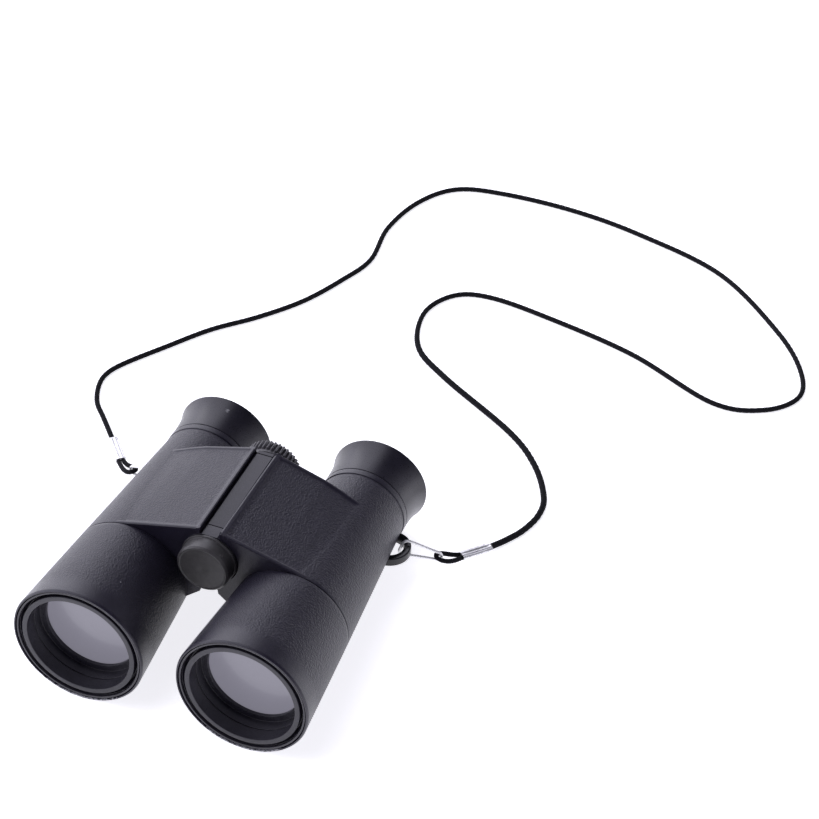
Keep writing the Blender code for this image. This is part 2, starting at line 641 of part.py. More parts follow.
def clip_basis(side):
    """The clip's base point and length, with unit vectors along it, sideways and up its plane."""
    centre = Vector((SIDES[side] * LUG_CENTRE.x, LUG_CENTRE.y, LUG_CENTRE.z))
    reach = CLIP_TIP[side] - centre
    outward = Vector((reach.x, reach.y, 0)).normalized()
    base = centre + outward * CLIP_BASE_RADIUS + Vector((0, 0, CLIP_BASE_RISE))
    along = (CLIP_TIP[side] - base).normalized()
    sideways = Vector((0, 0, 1)).cross(along).normalized()
    return base, (CLIP_TIP[side] - base).length, along, sideways, along.cross(sideways)


def wire_clip(side, frame, colour):
    """Closed loop of spring wire that passes through the strap lug."""
    base, length, along, _, up = clip_basis(side)
    upper = [base + along * (length * a) + up * (b * MM) for a, b in CLIP_UPPER]
    lower = [base + along * (length * a) - up * (b * MM) for a, b in reversed(CLIP_LOWER)]
    outline = [base] + upper + [base + along * length] + lower
    path = catmull_rom(outline, CLIP_POINTS, True)
    return place_tube(f"{side}_wire_clip", path, WIRE_RADIUS, frame, colour, True)


def place_tube(name, points, radius, frame, colour, cyclic=False):
    """A tube whose points are in the barrel frame, with its origin at its moving frame's axis."""
    offset = Vector(frame.location)
    obj = tube(name, [point - offset for point in points], radius, cyclic)
    obj.parent = frame
    obj.data.materials.append(colour)
    parts.objects.link(obj)
    return obj


def ferrule_basis(side):
    """Unit vectors of a ferrule: across its flat width, through its thickness, and along it."""
    run = (FERRULE_OUT[side] - FERRULE_IN[side]).normalized()
    across = run.cross(Vector((0, 0, 1))).normalized()
    return across, across.cross(run), run


def cord_eye(side, frame, colour):
    """Tight loop of the cord's own end, round the clip's tip and back into the ferrule."""
    base, clip_length, along, _, up = clip_basis(side)
    near = base + along * (clip_length - WIRE_RADIUS - EYE_CORD_RADIUS - EYE_CLEARANCE)
    ferrule_across, _, ferrule_run = ferrule_basis(side)
    mouth = FERRULE_IN[side] - ferrule_run * 1.5 * GAP
    clip_across = along.cross(up).normalized()
    if clip_across.dot(ferrule_across) < 0:
        clip_across = -clip_across
    handle = (mouth - near).length / 3
    bend = (near, near + along * handle, mouth - ferrule_run * handle, mouth)

    def strand(sign):
        points = []
        for share, opening in EYE_HALF[side]:
            rest = 1 - share
            weights = (rest ** 3, 3 * share * rest ** 2, 3 * share ** 2 * rest, share ** 3)
            middle = sum((point * weight for point, weight in zip(bend, weights)), Vector((0, 0, 0)))
            across = clip_across.lerp(ferrule_across, share).normalized()
            points.append(middle + across * (sign * opening * MM))
        return points

    path = catmull_rom(strand(1)[::-1] + strand(-1), EYE_POINTS)
    return place_tube(f"{side}_cord_eye", path, EYE_CORD_RADIUS, frame, colour)


def ferrule(side, frame, colour):
    """Flattened metal sleeve that clamps the cord's end."""
    start = FERRULE_IN[side]
    finish = FERRULE_OUT[side]
    across, lift, run = ferrule_basis(side)
    form = bmesh.new()
    bmesh.ops.create_cone(
        form, cap_ends=True, segments=16, radius1=1.0, radius2=1.0, depth=(finish - start).length
    )
    middle = 0.5 * (start + finish) - Vector(frame.location)
    columns = (across * FERRULE_HALF_WIDTH, lift * FERRULE_HALF_HEIGHT, run)
    matrix = Matrix(columns).transposed().to_4x4()
    bmesh.ops.transform(form, matrix=Matrix.Translation(middle) @ matrix, verts=form.verts)
    bmesh.ops.recalc_face_normals(form, faces=form.faces)
    mesh = bpy.data.meshes.new(f"{side}_ferrule")
    form.to_mesh(mesh)
    form.free()
    smooth(mesh)
    obj = bpy.data.objects.new(f"{side}_ferrule", mesh)
    obj.parent = frame
    obj.data.materials.append(colour)
    parts.objects.link(obj)
    return obj


def neck_cord(frame, colour):
    """The whole cord on the surface, from the left ferrule to the right one."""
    route = [Vector(point) * MM for point in CORD_ROUTE]
    obj = tube("neck_cord", catmull_rom(route, CORD_POINTS), CORD_RADIUS)
    obj.parent = frame
    obj.data.materials.append(colour)
    parts.objects.link(obj)
    return obj


clear_scene()
parts = make_collection("toy_binoculars")
cutters = make_collection("toy_binoculars_cutters")

ground = bpy.data.objects.new("ground", None)
parts.objects.link(ground)
tilt = bpy.data.objects.new("rest_tilt", None)
parts.objects.link(tilt)
tilt.location = (0, CENTRE_SHIFT, REST_HEIGHT)
tilt.rotation_euler = (-REST_TILT, 0, 0)

hinge_axis = make_frame("fold_axis", tilt, (0, 0, HINGE_Z))
wheel_axis = make_frame("wheel_axis", tilt, (0, 0, HINGE_Z))
lug_axes = {
    side: make_frame(f"{side}_clip_axis", tilt, (sign * LUG_CENTRE.x, LUG_CENTRE.y, LUG_CENTRE.z))
    for side, sign in SIDES.items()
}

shell = make_material("grained_black_plastic", (0.014, 0.012, 0.022), 0.42)
satin = make_material("satin_black_plastic", (0.012, 0.011, 0.018), 0.34)
cap_plastic = make_material("warm_grey_plastic", (0.030, 0.029, 0.032), 0.45)
gloss = make_material("gloss_black_plastic", (0.010, 0.010, 0.012), 0.18)
ring_plastic = make_material("grey_ring_plastic", (0.016, 0.015, 0.022), 0.34)
glass = make_material("grey_lens_plastic", (0.20, 0.20, 0.24), 0.12)
inner_plastic = make_material("inner_black_plastic", (0.015, 0.015, 0.016), 0.55)
steel = make_material("bright_steel", (0.72, 0.72, 0.74), 0.25, 1.0)
cord_black = make_material("black_cord", (0.012, 0.012, 0.014), 0.85)

for side_name in SIDES:
    half = tilt if side_name == "right" else hinge_axis
    barrel_body(side_name, half, shell)
    objective_tube(side_name, half, shell)
    objective_bezel(side_name, half, ring_plastic)
    lens_retainer(side_name, half, ring_plastic)
    objective_lens(side_name, half, glass)
    eyecup(side_name, half, satin)
    ocular_tube(side_name, half, inner_plastic)
    ocular_lens(side_name, half, glass)
    strap_lug(side_name, half, gloss)
    wire_clip(side_name, lug_axes[side_name], steel)
    cord_eye(side_name, lug_axes[side_name], cord_black)
    ferrule(side_name, lug_axes[side_name], steel)

hinge_cap(hinge_axis, cap_plastic)
focus_wheel(wheel_axis, satin)
focus_spindle(wheel_axis, steel)
spindle_washer(wheel_axis, steel)
focus_nut(tilt, inner_plastic)
left_focus_arm(hinge_axis, inner_plastic)
neck_cord(ground, cord_black)
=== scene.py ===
"""Looks of the toy binoculars: fine surfaces, materials, cord, floor, light and camera."""
import json
import math

import bpy
import numpy as np
from mathutils import Matrix, Vector, noise


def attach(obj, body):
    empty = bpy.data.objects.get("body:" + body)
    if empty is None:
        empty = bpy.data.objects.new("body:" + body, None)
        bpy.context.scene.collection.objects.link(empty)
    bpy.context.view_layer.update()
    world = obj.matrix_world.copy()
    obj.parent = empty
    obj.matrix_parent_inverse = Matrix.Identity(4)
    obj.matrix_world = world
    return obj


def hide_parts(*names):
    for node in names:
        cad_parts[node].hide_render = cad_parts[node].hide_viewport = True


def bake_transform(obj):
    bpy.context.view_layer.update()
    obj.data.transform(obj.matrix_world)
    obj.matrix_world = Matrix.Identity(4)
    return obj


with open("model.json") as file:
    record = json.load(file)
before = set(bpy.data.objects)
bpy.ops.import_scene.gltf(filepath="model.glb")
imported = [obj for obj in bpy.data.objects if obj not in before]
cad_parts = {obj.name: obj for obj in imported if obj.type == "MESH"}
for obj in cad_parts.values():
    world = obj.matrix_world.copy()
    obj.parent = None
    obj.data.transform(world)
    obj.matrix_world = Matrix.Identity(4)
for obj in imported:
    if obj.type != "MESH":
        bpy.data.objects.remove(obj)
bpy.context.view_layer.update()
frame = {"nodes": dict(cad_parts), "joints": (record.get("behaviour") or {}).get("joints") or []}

MM = 0.001

# ---------------------------------------------------------------- dimensions, in millimetres
BARREL_X = 31.3
HINGE_Z = 17.6
FRONT_RADIUS = 25.0
SEAM_RADIUS = 21.8
SEAM_Y = 42.7
REAR_RADIUS = 16.72
REAR_Y = 105.1
BODY_END_Y = 107.9
CUP_Y = 108.2
CUP_RADIUS = 16.9
RIM_Y = 123.1
RIM_RADIUS = 18.58
KNUCKLE_RADIUS = 10.6
CLEARANCE_RADIUS = 10.9
FUSED_RADIUS = 9.6
KNUCKLE_FLAT = 10.3
KNUCKLE_SHOULDER = 10.8
WING_FRONT_Y = 42.75
WING_REAR_Y = 91.0
FRONT_EAR_Y = (42.65, 48.0)
TUBE_Y = (48.3, 89.6)
REAR_EAR_Y = (89.9, 91.5)
HINGE_BORE = 3.0
WHEEL_RIBS = 38
WHEEL_RIB_HEIGHT = 0.36
WHEEL_GROOVE_DEPTH = 0.75
CAP_RADIUS = 9.9
CORD_DIAMETER = 2.0
EYE_CORD_RADIUS = 0.9
TAIL_LENGTH = 20.0

# The cord is a little thicker near its right end: by this share, over this stretch from that end, in metres
CORD_SWELL = 0.20
SWELL_FROM = 0.150
SWELL_TO = 0.125

SIDES = {"right": 1, "left": -1}

# The barrel frame: X to the right, Y from the objectives to the eyecups, Z up from the barrels' plane
JOINTS = {joint["name"]: joint for joint in frame["joints"]}
ALONG = Vector(JOINTS["fold"]["axis"]).normalized()
ACROSS = Vector((1, 0, 0))
UPWARD = ACROSS.cross(ALONG)
BARREL_ORIGIN = Vector(JOINTS["fold"]["pos_m"]) - UPWARD * HINGE_Z * MM
BARREL = Matrix.Translation(BARREL_ORIGIN) @ Matrix((ACROSS, ALONG, UPWARD)).transposed().to_4x4()


def in_row(point):
    """A barrel-frame point in millimetres as a row-frame point in metres."""
    return BARREL @ (Vector(point) * MM)


# ---------------------------------------------------------------- camera
# Focal length and sensor width in millimetres, place in metres, and the direction from the object to it
CAMERA_LENS = 139.6
CAMERA_SENSOR = 36.0
CAMERA_PLACE = (0.36296, -0.71618, 0.83396)
CAMERA_BACK = (0.2796, -0.6799, 0.6779)
CAMERA_RANGE = 10.0


def add_camera():
    """The view from the front right, high above the barrels."""
    data = bpy.data.cameras.new("camera")
    data.lens = CAMERA_LENS
    data.sensor_width = CAMERA_SENSOR
    data.clip_end = CAMERA_RANGE
    camera = bpy.data.objects.new("camera", data)
    bpy.context.scene.collection.objects.link(camera)
    camera.location = Vector(CAMERA_PLACE)
    camera.rotation_euler = Vector(CAMERA_BACK).normalized().to_track_quat("Z", "Y").to_euler()
    bpy.context.scene.camera = camera


add_camera()


# ---------------------------------------------------------------- cord
# Route on the surface, from the left ferrule to the right one, in metres
CORD_ROUTE = [
    (-0.0794, 0.0603, 0.00145), (-0.0839, 0.0655, 0.0010), (-0.0885, 0.0706, 0.0010),
    (-0.0942, 0.0770, 0.0010), (-0.0978, 0.0855, 0.0010), (-0.0982, 0.0930, 0.0010),
    (-0.0945, 0.1012, 0.0010), (-0.0836, 0.1164, 0.0010), (-0.0715, 0.1325, 0.0010),
    (-0.0573, 0.1466, 0.0010), (-0.0445, 0.1625, 0.0010), (-0.0352, 0.1805, 0.0010),
    (-0.0295, 0.1965, 0.0010), (-0.0308, 0.2180, 0.0010), (-0.0255, 0.2383, 0.0010),
    (-0.0139, 0.2523, 0.0010), (0.0060, 0.2570, 0.0010), (0.0360, 0.2576, 0.0010),
    (0.0667, 0.2533, 0.0010), (0.1049, 0.2420, 0.0010), (0.1366, 0.2176, 0.0010),
    (0.1525, 0.1985, 0.0010), (0.1566, 0.1830, 0.0010), (0.1460, 0.1709, 0.0010),
    (0.1260, 0.1675, 0.0010), (0.0883, 0.1822, 0.0010), (0.0495, 0.1903, 0.0010),
    (0.0240, 0.1930, 0.0010), (0.0100, 0.1883, 0.0010), (0.0032, 0.1740, 0.0010),
    (0.0087, 0.1544, 0.0010), (0.0250, 0.1415, 0.0010), (0.0595, 0.1220, 0.0010),
    (0.0750, 0.1085, 0.0010), (0.0843, 0.0940, 0.0010), (0.0862, 0.0840, 0.0010),
    (0.0839, 0.0743, 0.0010), (0.0799, 0.0670, 0.0010), (0.0761, 0.0612, 0.00145),
]


# Steps on each span of a smooth curve, and the spacing of tube rings in metres
CURVE_STEPS = 24
CORD_SPACING = 0.00045
WIRE_SPACING = 0.0003

# Braid: length of one turn of a strand in metres, strands round the cord, and the relief of the radius
BRAID_LAY = 0.0052
BRAID_STRANDS = 4
BRAID_LOW = 0.94
BRAID_RELIEF = 0.08


def ramp_between(value, low, high):
    """0 below low, 1 above high, smooth between."""
    t = min(max((value - low) / (high - low), 0.0), 1.0)
    return t * t * (3 - 2 * t)


def catmull_rom(points, spacing, cyclic=False):
    """Points a given distance apart on a smooth curve through the given ones."""
    points = [Vector(point) for point in points]
    total = len(points)
    fine = []
    for i in range(total if cyclic else total - 1):
        if cyclic:
            p0, p1, p2, p3 = (points[(i + k) % total] for k in (-1, 0, 1, 2))
        else:
            p0, p1, p2, p3 = (points[min(max(i + k, 0), total - 1)] for k in (-1, 0, 1, 2))
        for step in range(CURVE_STEPS):
            t = step / CURVE_STEPS
            fine.append(0.5 * (2 * p1 + (p2 - p0) * t + (2 * p0 - 5 * p1 + 4 * p2 - p3) * t ** 2
                               + (3 * p1 - p0 - 3 * p2 + p3) * t ** 3))
    fine.append(points[0] if cyclic else points[-1])
    track = np.array(fine)
    reach = np.concatenate([[0], np.cumsum(np.linalg.norm(np.diff(track, axis=0), axis=1))])
    count = max(2, round(reach[-1] / spacing))
    goals = np.linspace(0, reach[-1], count + 1)
    if cyclic:
        goals = goals[:-1]
    return np.stack([np.interp(goals, reach, track[:, k]) for k in range(3)], axis=1)


def track_frames(path, cyclic=False):
    """Two unit vectors square to the path at each point, turning as little as possible."""
    if cyclic:
        tangent = np.roll(path, -1, axis=0) - np.roll(path, 1, axis=0)
    else:
        tangent = np.gradient(path, axis=0)
    tangent /= np.linalg.norm(tangent, axis=1)[:, None]
    first = np.cross(tangent[0], (0.0, 0.0, 1.0))
    if np.linalg.norm(first) < 0.1:
        first = np.cross(tangent[0], (1.0, 0.0, 0.0))
    normals = [first / np.linalg.norm(first)]
    for direction in tangent[1:]:
        turned_normal = normals[-1] - direction * normals[-1].dot(direction)
        normals.append(turned_normal / np.linalg.norm(turned_normal))
    normals = np.array(normals)
    return normals, np.cross(tangent, normals)


def ring_faces(rows, size, closed=False, capped=False):
    """Quads between rings of points, all of one size; closed joins the last ring to the first."""
    faces = []
    for i in range(rows if closed else rows - 1):
        after = (i + 1) % rows
        for j in range(size):
            k = (j + 1) % size
            faces.append((i * size + j, i * size + k, after * size + k, after * size + j))
    if capped:
        faces.append(tuple(range(size))[::-1])
        faces.append(tuple((rows - 1) * size + j for j in range(size)))
    return faces


def turned_over(faces):
    """The same quads seen from the other side, each from the same first point."""
    return [(a, d, c, b) for a, b, c, d in faces]


def new_object(name, verts, faces, material, sharp=35, attributes=None):
    """A mesh object in the row frame, shaded smooth except at sharp edges."""
    mesh = bpy.data.meshes.new(name)
    mesh.from_pydata([tuple(vert) for vert in verts], [], faces)
    mesh.validate()
    for key, values in (attributes or {}).items():
        layer = mesh.attributes.new(key, "FLOAT", "POINT")
        layer.data.foreach_set("value", np.asarray(values, np.float32))
    mesh.shade_smooth()
    mesh.set_sharp_from_angle(angle=math.radians(sharp))
    obj = bpy.data.objects.new(name, mesh)
    bpy.context.scene.collection.objects.link(obj)
    if material:
        mesh.materials.append(material)
    return obj


def tube_mesh(name, path, radius, material, sides=14, cyclic=False, relief=None):
    """A round tube along a path; relief(angle, distance) scales the radius."""
    normals, binormals = track_frames(path, cyclic)
    steps = np.linalg.norm(np.diff(path, axis=0), axis=1)
    reach = np.concatenate([[0], np.cumsum(steps)])
    angles = 2 * math.pi * np.arange(sides) / sides
    scale = np.ones((len(path), sides))
    if relief:
        scale = relief(angles[None, :], reach[:, None])
    ring = (normals[:, None, :] * np.cos(angles)[None, :, None]
            + binormals[:, None, :] * np.sin(angles)[None, :, None])
    thickness = np.broadcast_to(radius, len(path))[:, None] * scale
    verts = (path[:, None, :] + ring * thickness[:, :, None]).reshape(-1, 3)
    faces = ring_faces(len(path), sides, closed=cyclic, capped=not cyclic)
    return new_object(name, verts, faces, material, 60)


def braid(angle, distance):
    """Low relief of a fine round braid: two sets of strands that cross."""
    lay = 2 * math.pi / BRAID_LAY
    right_hand = np.sin(BRAID_STRANDS * angle + 2 * lay * distance)
    left_hand = np.sin(BRAID_STRANDS * angle - 2 * lay * distance)
    return BRAID_LOW + BRAID_RELIEF * np.maximum(right_hand, left_hand)


# ---------------------------------------------------------------- materials
# Cells per metre of the leather grain and of the specks of dust, and the paler colours of dust and wear
GRAIN_CELLS = 1500.0
DUST_CELLS = 42.0
DUST_COLOUR = (0.55, 0.55, 0.58)
GRAINED_WEAR = (0.40, 0.40, 0.42)
PLAIN_WEAR = (0.20, 0.20, 0.21)
LIP_WEAR = (0.6, 0.6, 0.6)
PLASTIC_IOR = 1.49


def new_material(name):
    """A node material, its tree and its main shader."""
    material = bpy.data.materials.new(name)
    material.use_nodes = True
    return material, material.node_tree, material.node_tree.nodes["Principled BSDF"]


def add_node(tree, kind, **settings):
    """A new node with the given settings."""
    node = tree.nodes.new(kind)
    for key, value in settings.items():
        setattr(node, key, value)
    return node


def place_noise(tree, scale, detail=4.0, roughness=0.55):
    """Noise in the row frame, scale in cells per metre."""
    coordinates = add_node(tree, "ShaderNodeNewGeometry")
    texture = add_node(tree, "ShaderNodeTexNoise")
    texture.inputs["Scale"].default_value = scale
    texture.inputs["Detail"].default_value = detail
    texture.inputs["Roughness"].default_value = roughness
    tree.links.new(coordinates.outputs["Position"], texture.inputs["Vector"])
    return texture


def ramp(tree, source, stops):
    """A colour ramp; stops are (position, (r, g, b))."""
    node = add_node(tree, "ShaderNodeValToRGB")
    elements = node.color_ramp.elements
    while len(elements) < len(stops):
        elements.new(0.5)
    for element, (position, colour) in zip(elements, stops):
        element.position = position
        element.color = (*colour, 1.0)
    tree.links.new(source, node.inputs["Fac"])
    return node


def bump(tree, height, distance, strength, normal=None):
    """Relief from a height, with its depth in metres, on top of an earlier normal."""
    node = add_node(tree, "ShaderNodeBump")
    node.inputs["Distance"].default_value = distance
    node.inputs["Strength"].default_value = strength
    tree.links.new(height, node.inputs["Height"])
    if normal:
        tree.links.new(normal, node.inputs["Normal"])
    return node


def worn(tree, colour, pale, scale):
    """The colour with pale flecks where the wear attribute is high."""
    wear = add_node(tree, "ShaderNodeAttribute", attribute_name="wear")
    flecks = place_noise(tree, scale, 3.0, 0.7)
    product = add_node(tree, "ShaderNodeMath", operation="MULTIPLY")
    tree.links.new(wear.outputs["Fac"], product.inputs[0])
    tree.links.new(flecks.outputs["Fac"], product.inputs[1])
    mask = ramp(tree, product.outputs[0], [(0.42, (0.0,) * 3), (0.54, (1.0,) * 3)])
    mix = add_node(tree, "ShaderNodeMixRGB")
    mix.inputs["Color2"].default_value = (*pale, 1.0)
    tree.links.new(mask.outputs["Color"], mix.inputs["Fac"])
    tree.links.new(colour, mix.inputs["Color1"])
    return mix.outputs["Color"]


def dusted(tree, colour, size=0.0075):
    """The colour with a few tiny specks of dust."""
    position = add_node(tree, "ShaderNodeNewGeometry")
    cells = add_node(tree, "ShaderNodeTexVoronoi")
    cells.inputs["Scale"].default_value = DUST_CELLS
    tree.links.new(position.outputs["Position"], cells.inputs["Vector"])
    mask = ramp(tree, cells.outputs["Distance"], [(size, (1.0,) * 3), (size * 1.4, (0.0,) * 3)])
    mix = add_node(tree, "ShaderNodeMixRGB")
    mix.inputs["Color2"].default_value = (*DUST_COLOUR, 1.0)
    tree.links.new(mask.outputs["Color"], mix.inputs["Fac"])
    tree.links.new(colour, mix.inputs["Color1"])
    return mix.outputs["Color"]


def grained_plastic():
    """Black plastic moulded with a leather grain; the grain attribute fades it out at smooth edges."""
    material, tree, shader = new_material("grained_plastic")
    position = add_node(tree, "ShaderNodeNewGeometry")
    cells = add_node(tree, "ShaderNodeTexVoronoi", feature="SMOOTH_F1")
    cells.inputs["Scale"].default_value = GRAIN_CELLS
    cells.inputs["Smoothness"].default_value = 0.35
    cells.inputs["Randomness"].default_value = 1.0
    warp = place_noise(tree, 420.0, 3.0)
    mix = add_node(tree, "ShaderNodeMixRGB", blend_type="ADD")
    mix.inputs["Fac"].default_value = 0.0006
    tree.links.new(position.outputs["Position"], mix.inputs["Color1"])
    tree.links.new(warp.outputs["Color"], mix.inputs["Color2"])
    tree.links.new(mix.outputs["Color"], cells.inputs["Vector"])
    wide = place_noise(tree, 330.0, 3.0, 0.6)
    fine = place_noise(tree, 2600.0, 4.0, 0.6)
    grain = add_node(tree, "ShaderNodeAttribute", attribute_name="grain")

    def faded(source, gain):
        node = add_node(tree, "ShaderNodeMath", operation="MULTIPLY")
        tree.links.new(source, node.inputs[0])
        tree.links.new(grain.outputs["Fac"], node.inputs[1])
        scaled = add_node(tree, "ShaderNodeMath", operation="MULTIPLY")
        scaled.inputs[1].default_value = gain
        tree.links.new(node.outputs[0], scaled.inputs[0])
        return scaled.outputs[0]

    wrinkle = bump(tree, faded(cells.outputs["Distance"], 1.0), 0.00035, 0.52)
    waves = bump(tree, faded(wide.outputs["Fac"], 1.0), 0.0004, 0.015, wrinkle.outputs["Normal"])
    skin = bump(tree, fine.outputs["Fac"], 0.00014, 0.70, waves.outputs["Normal"])
    tree.links.new(skin.outputs["Normal"], shader.inputs["Normal"])
    stops = [(0.3, (0.0120, 0.0105, 0.0200)), (0.7, (0.0160, 0.0140, 0.0260))]
    tone = ramp(tree, wide.outputs["Fac"], stops)
    colour = dusted(tree, worn(tree, tone.outputs["Color"], GRAINED_WEAR, 900.0))
    tree.links.new(colour, shader.inputs["Base Color"])
    gloss = ramp(tree, grain.outputs["Fac"], [(0.0, (0.30,) * 3), (1.0, (0.40,) * 3)])
    tree.links.new(gloss.outputs["Color"], shader.inputs["Roughness"])
    shader.inputs["IOR"].default_value = PLASTIC_IOR
    return material


def moulded_plastic(name, low, high, roughness, scale=900.0, relief=0.25, pale=PLAIN_WEAR):
    """Plain moulded plastic with a faint mottle, fine texture and slightly uneven gloss."""
    material, tree, shader = new_material(name)
    mottle = place_noise(tree, scale * 0.3, 4.0)
    tone = ramp(tree, mottle.outputs["Fac"], [(0.35, low), (0.65, high)])
    colour = worn(tree, tone.outputs["Color"], pale, 1500.0)
    tree.links.new(colour, shader.inputs["Base Color"])
    texture = place_noise(tree, scale * 3.0, 5.0, 0.65)
    stops = [(0.3, (roughness - 0.05,) * 3), (0.7, (roughness + 0.07,) * 3)]
    gloss = ramp(tree, texture.outputs["Fac"], stops)
    tree.links.new(gloss.outputs["Color"], shader.inputs["Roughness"])
    skin = bump(tree, texture.outputs["Fac"], 0.00006, relief)
    tree.links.new(skin.outputs["Normal"], shader.inputs["Normal"])
    shader.inputs["IOR"].default_value = PLASTIC_IOR
    return material


def glowing_lens_plastic():
    """Grey lens: a dark milky grey under a clear glossy face, with a faint painted glow (emission) that
    stands in for light and evens out its grey.
    """
    material, tree, shader = new_material("glowing_lens_plastic")
    cloud = place_noise(tree, 60.0, 2.0)
    tone = ramp(tree, cloud.outputs["Fac"], [(0.3, (0.055, 0.053, 0.066)), (0.7, (0.061, 0.059, 0.072))])
    tree.links.new(tone.outputs["Color"], shader.inputs["Base Color"])
    shader.inputs["Roughness"].default_value = 0.30
    shader.inputs["IOR"].default_value = 1.45
    shader.inputs["Coat Weight"].default_value = 0.3
    shader.inputs["Coat Roughness"].default_value = 0.06
    # Painted glow: the lens emits a faint light of its own, standing in for even light on its face
    shader.inputs["Emission Color"].default_value = (0.93, 0.90, 1.10, 1.0)
    shader.inputs["Emission Strength"].default_value = 0.195
    dust = place_noise(tree, 1400.0, 3.0)
    skin = bump(tree, dust.outputs["Fac"], 0.00002, 0.15)
    tree.links.new(skin.outputs["Normal"], shader.inputs["Normal"])
    return material


def scratched_metal(name, low, high, metallic):
    """Bright metal with fine drawn scratches and a little soft tarnish."""
    material, tree, shader = new_material(name)
    mottle = place_noise(tree, 900.0, 4.0)
    tone = ramp(tree, mottle.outputs["Fac"], [(0.3, (low,) * 3), (0.7, (high,) * 3)])
    tree.links.new(tone.outputs["Color"], shader.inputs["Base Color"])
    gloss = ramp(tree, mottle.outputs["Fac"], [(0.3, (0.36,) * 3), (0.7, (0.24,) * 3)])
    tree.links.new(gloss.outputs["Color"], shader.inputs["Roughness"])
    shader.inputs["Metallic"].default_value = metallic
    scratch = place_noise(tree, 4200.0, 3.0)
    skin = bump(tree, scratch.outputs["Fac"], 0.00003, 0.3)
    tree.links.new(skin.outputs["Normal"], shader.inputs["Normal"])
    return material


def cord_fibre():
    """Black braided yarn: dark, dull, with lighter fibre tips."""
    material, tree, shader = new_material("cord_fibre")
    fibre = place_noise(tree, 5200.0, 5.0, 0.7)
    tone = ramp(tree, fibre.outputs["Fac"], [(0.35, (0.003, 0.003, 0.004)), (0.75, (0.012, 0.012, 0.016))])
    tree.links.new(tone.outputs["Color"], shader.inputs["Base Color"])
    shader.inputs["Roughness"].default_value = 0.85
    shader.inputs["Specular IOR Level"].default_value = 0.15
    shader.inputs["Sheen Weight"].default_value = 0.02
    shader.inputs["Sheen Roughness"].default_value = 0.5
    skin = bump(tree, fibre.outputs["Fac"], 0.00015, 0.6)
    tree.links.new(skin.outputs["Normal"], shader.inputs["Normal"])
    return material


GRAINED = grained_plastic()
SATIN = moulded_plastic("satin_plastic", (0.0100, 0.0090, 0.0160), (0.0140, 0.0125, 0.0210), 0.30)
CAP_GREY = moulded_plastic(
    "cap_plastic", (0.044, 0.042, 0.043), (0.058, 0.056, 0.056), 0.36, scale=1500.0, relief=0.5)
RING_GREY = moulded_plastic("ring_plastic", (0.012, 0.011, 0.018), (0.018, 0.017, 0.025), 0.30)
LIP_GREY = moulded_plastic(
    "lip_plastic", (0.020, 0.019, 0.026), (0.035, 0.033, 0.042), 0.20, pale=LIP_WEAR)
WHEEL_GREY = moulded_plastic("wheel_plastic", (0.042, 0.040, 0.046), (0.056, 0.053, 0.060), 0.30)
GLOSS = moulded_plastic("gloss_plastic", (0.008, 0.008, 0.010), (0.012, 0.012, 0.014), 0.16)
INNER = moulded_plastic("inner_plastic", (0.010, 0.010, 0.011), (0.015, 0.015, 0.016), 0.55)
LENS = glowing_lens_plastic()
METAL = scratched_metal("plated_metal", 0.84, 0.97, 0.55)
STEEL = scratched_metal("turned_steel", 0.30, 0.42, 1.0)
FIBRE = cord_fibre()


def lay_cord():
    """The neck cord, and the short tails at its two ends."""
    path = catmull_rom(CORD_ROUTE, CORD_SPACING)
    reach = np.concatenate([[0], np.cumsum(np.linalg.norm(np.diff(path, axis=0), axis=1))])
    tail = int(np.searchsorted(reach, TAIL_LENGTH * MM))
    total = reach[-1]
    swell = np.array([ramp_between(d, total - SWELL_FROM, total - SWELL_TO) for d in reach])
    radius = 0.5 * CORD_DIAMETER * MM * (1 + CORD_SWELL * swell)
    path[:, 2] += radius - radius[0]
    rest = len(path) - tail - 1
    start, finish = reach[tail], reach[rest]
    middle = path[tail:rest + 1]
    main = tube_mesh("cord_braid", middle, radius[tail:rest + 1], FIBRE,
                     relief=lambda a, d: braid(a, d + start))
    left = tube_mesh("left_cord_tail", path[:tail + 1], radius[:tail + 1], FIBRE, relief=braid)
    right = tube_mesh("right_cord_tail", path[rest:], radius[rest:], FIBRE,
                      relief=lambda a, d: braid(a, d + finish))
    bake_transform(main)
    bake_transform(left)
    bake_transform(right)
    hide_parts("neck_cord")


lay_cord()


# ---------------------------------------------------------------- mesh builders
def rounded(outline, radius=0.25, count=4):
    """The closed outline with every corner rounded as far as its edges allow."""
    result = []
    total = len(outline)
    for i, corner in enumerate(outline):
        corner = Vector(corner)
        before = Vector(outline[i - 1]) - corner
        after = Vector(outline[(i + 1) % total]) - corner
        reach = min(radius, 0.4 * before.length, 0.4 * after.length)
        turn = before.angle(-after) if before.length and after.length else 0
        if turn < math.radians(12):
            result.append(tuple(corner))
            continue
        start = corner + before.normalized() * reach
        finish = corner + after.normalized() * reach
        for step in range(count + 1):
            t = step / count
            result.append(tuple(start.lerp(corner, t).lerp(corner.lerp(finish, t), t)))
    return result


def outline_area(outline):
    """Signed area inside a closed outline."""
    pairs = zip(outline, outline[1:] + outline[:1])
    return 0.5 * sum(a[0] * b[1] - b[0] * a[1] for a, b in pairs)


UNBARREL = BARREL.inverted()


def mark(obj, key, value):
    """Store value(point) for each vertex, its point given in the barrel frame in millimetres."""
    mesh = obj.data
    layer = mesh.attributes.new(key, "FLOAT", "POINT")
    layer.data.foreach_set("value", [value((UNBARREL @ vert.co) / MM) for vert in mesh.vertices])


def off_axis(point, side):
    """Distance of a barrel-frame point from a barrel's axis."""
    return math.hypot(point.x - SIDES[side] * BARREL_X, point.z)


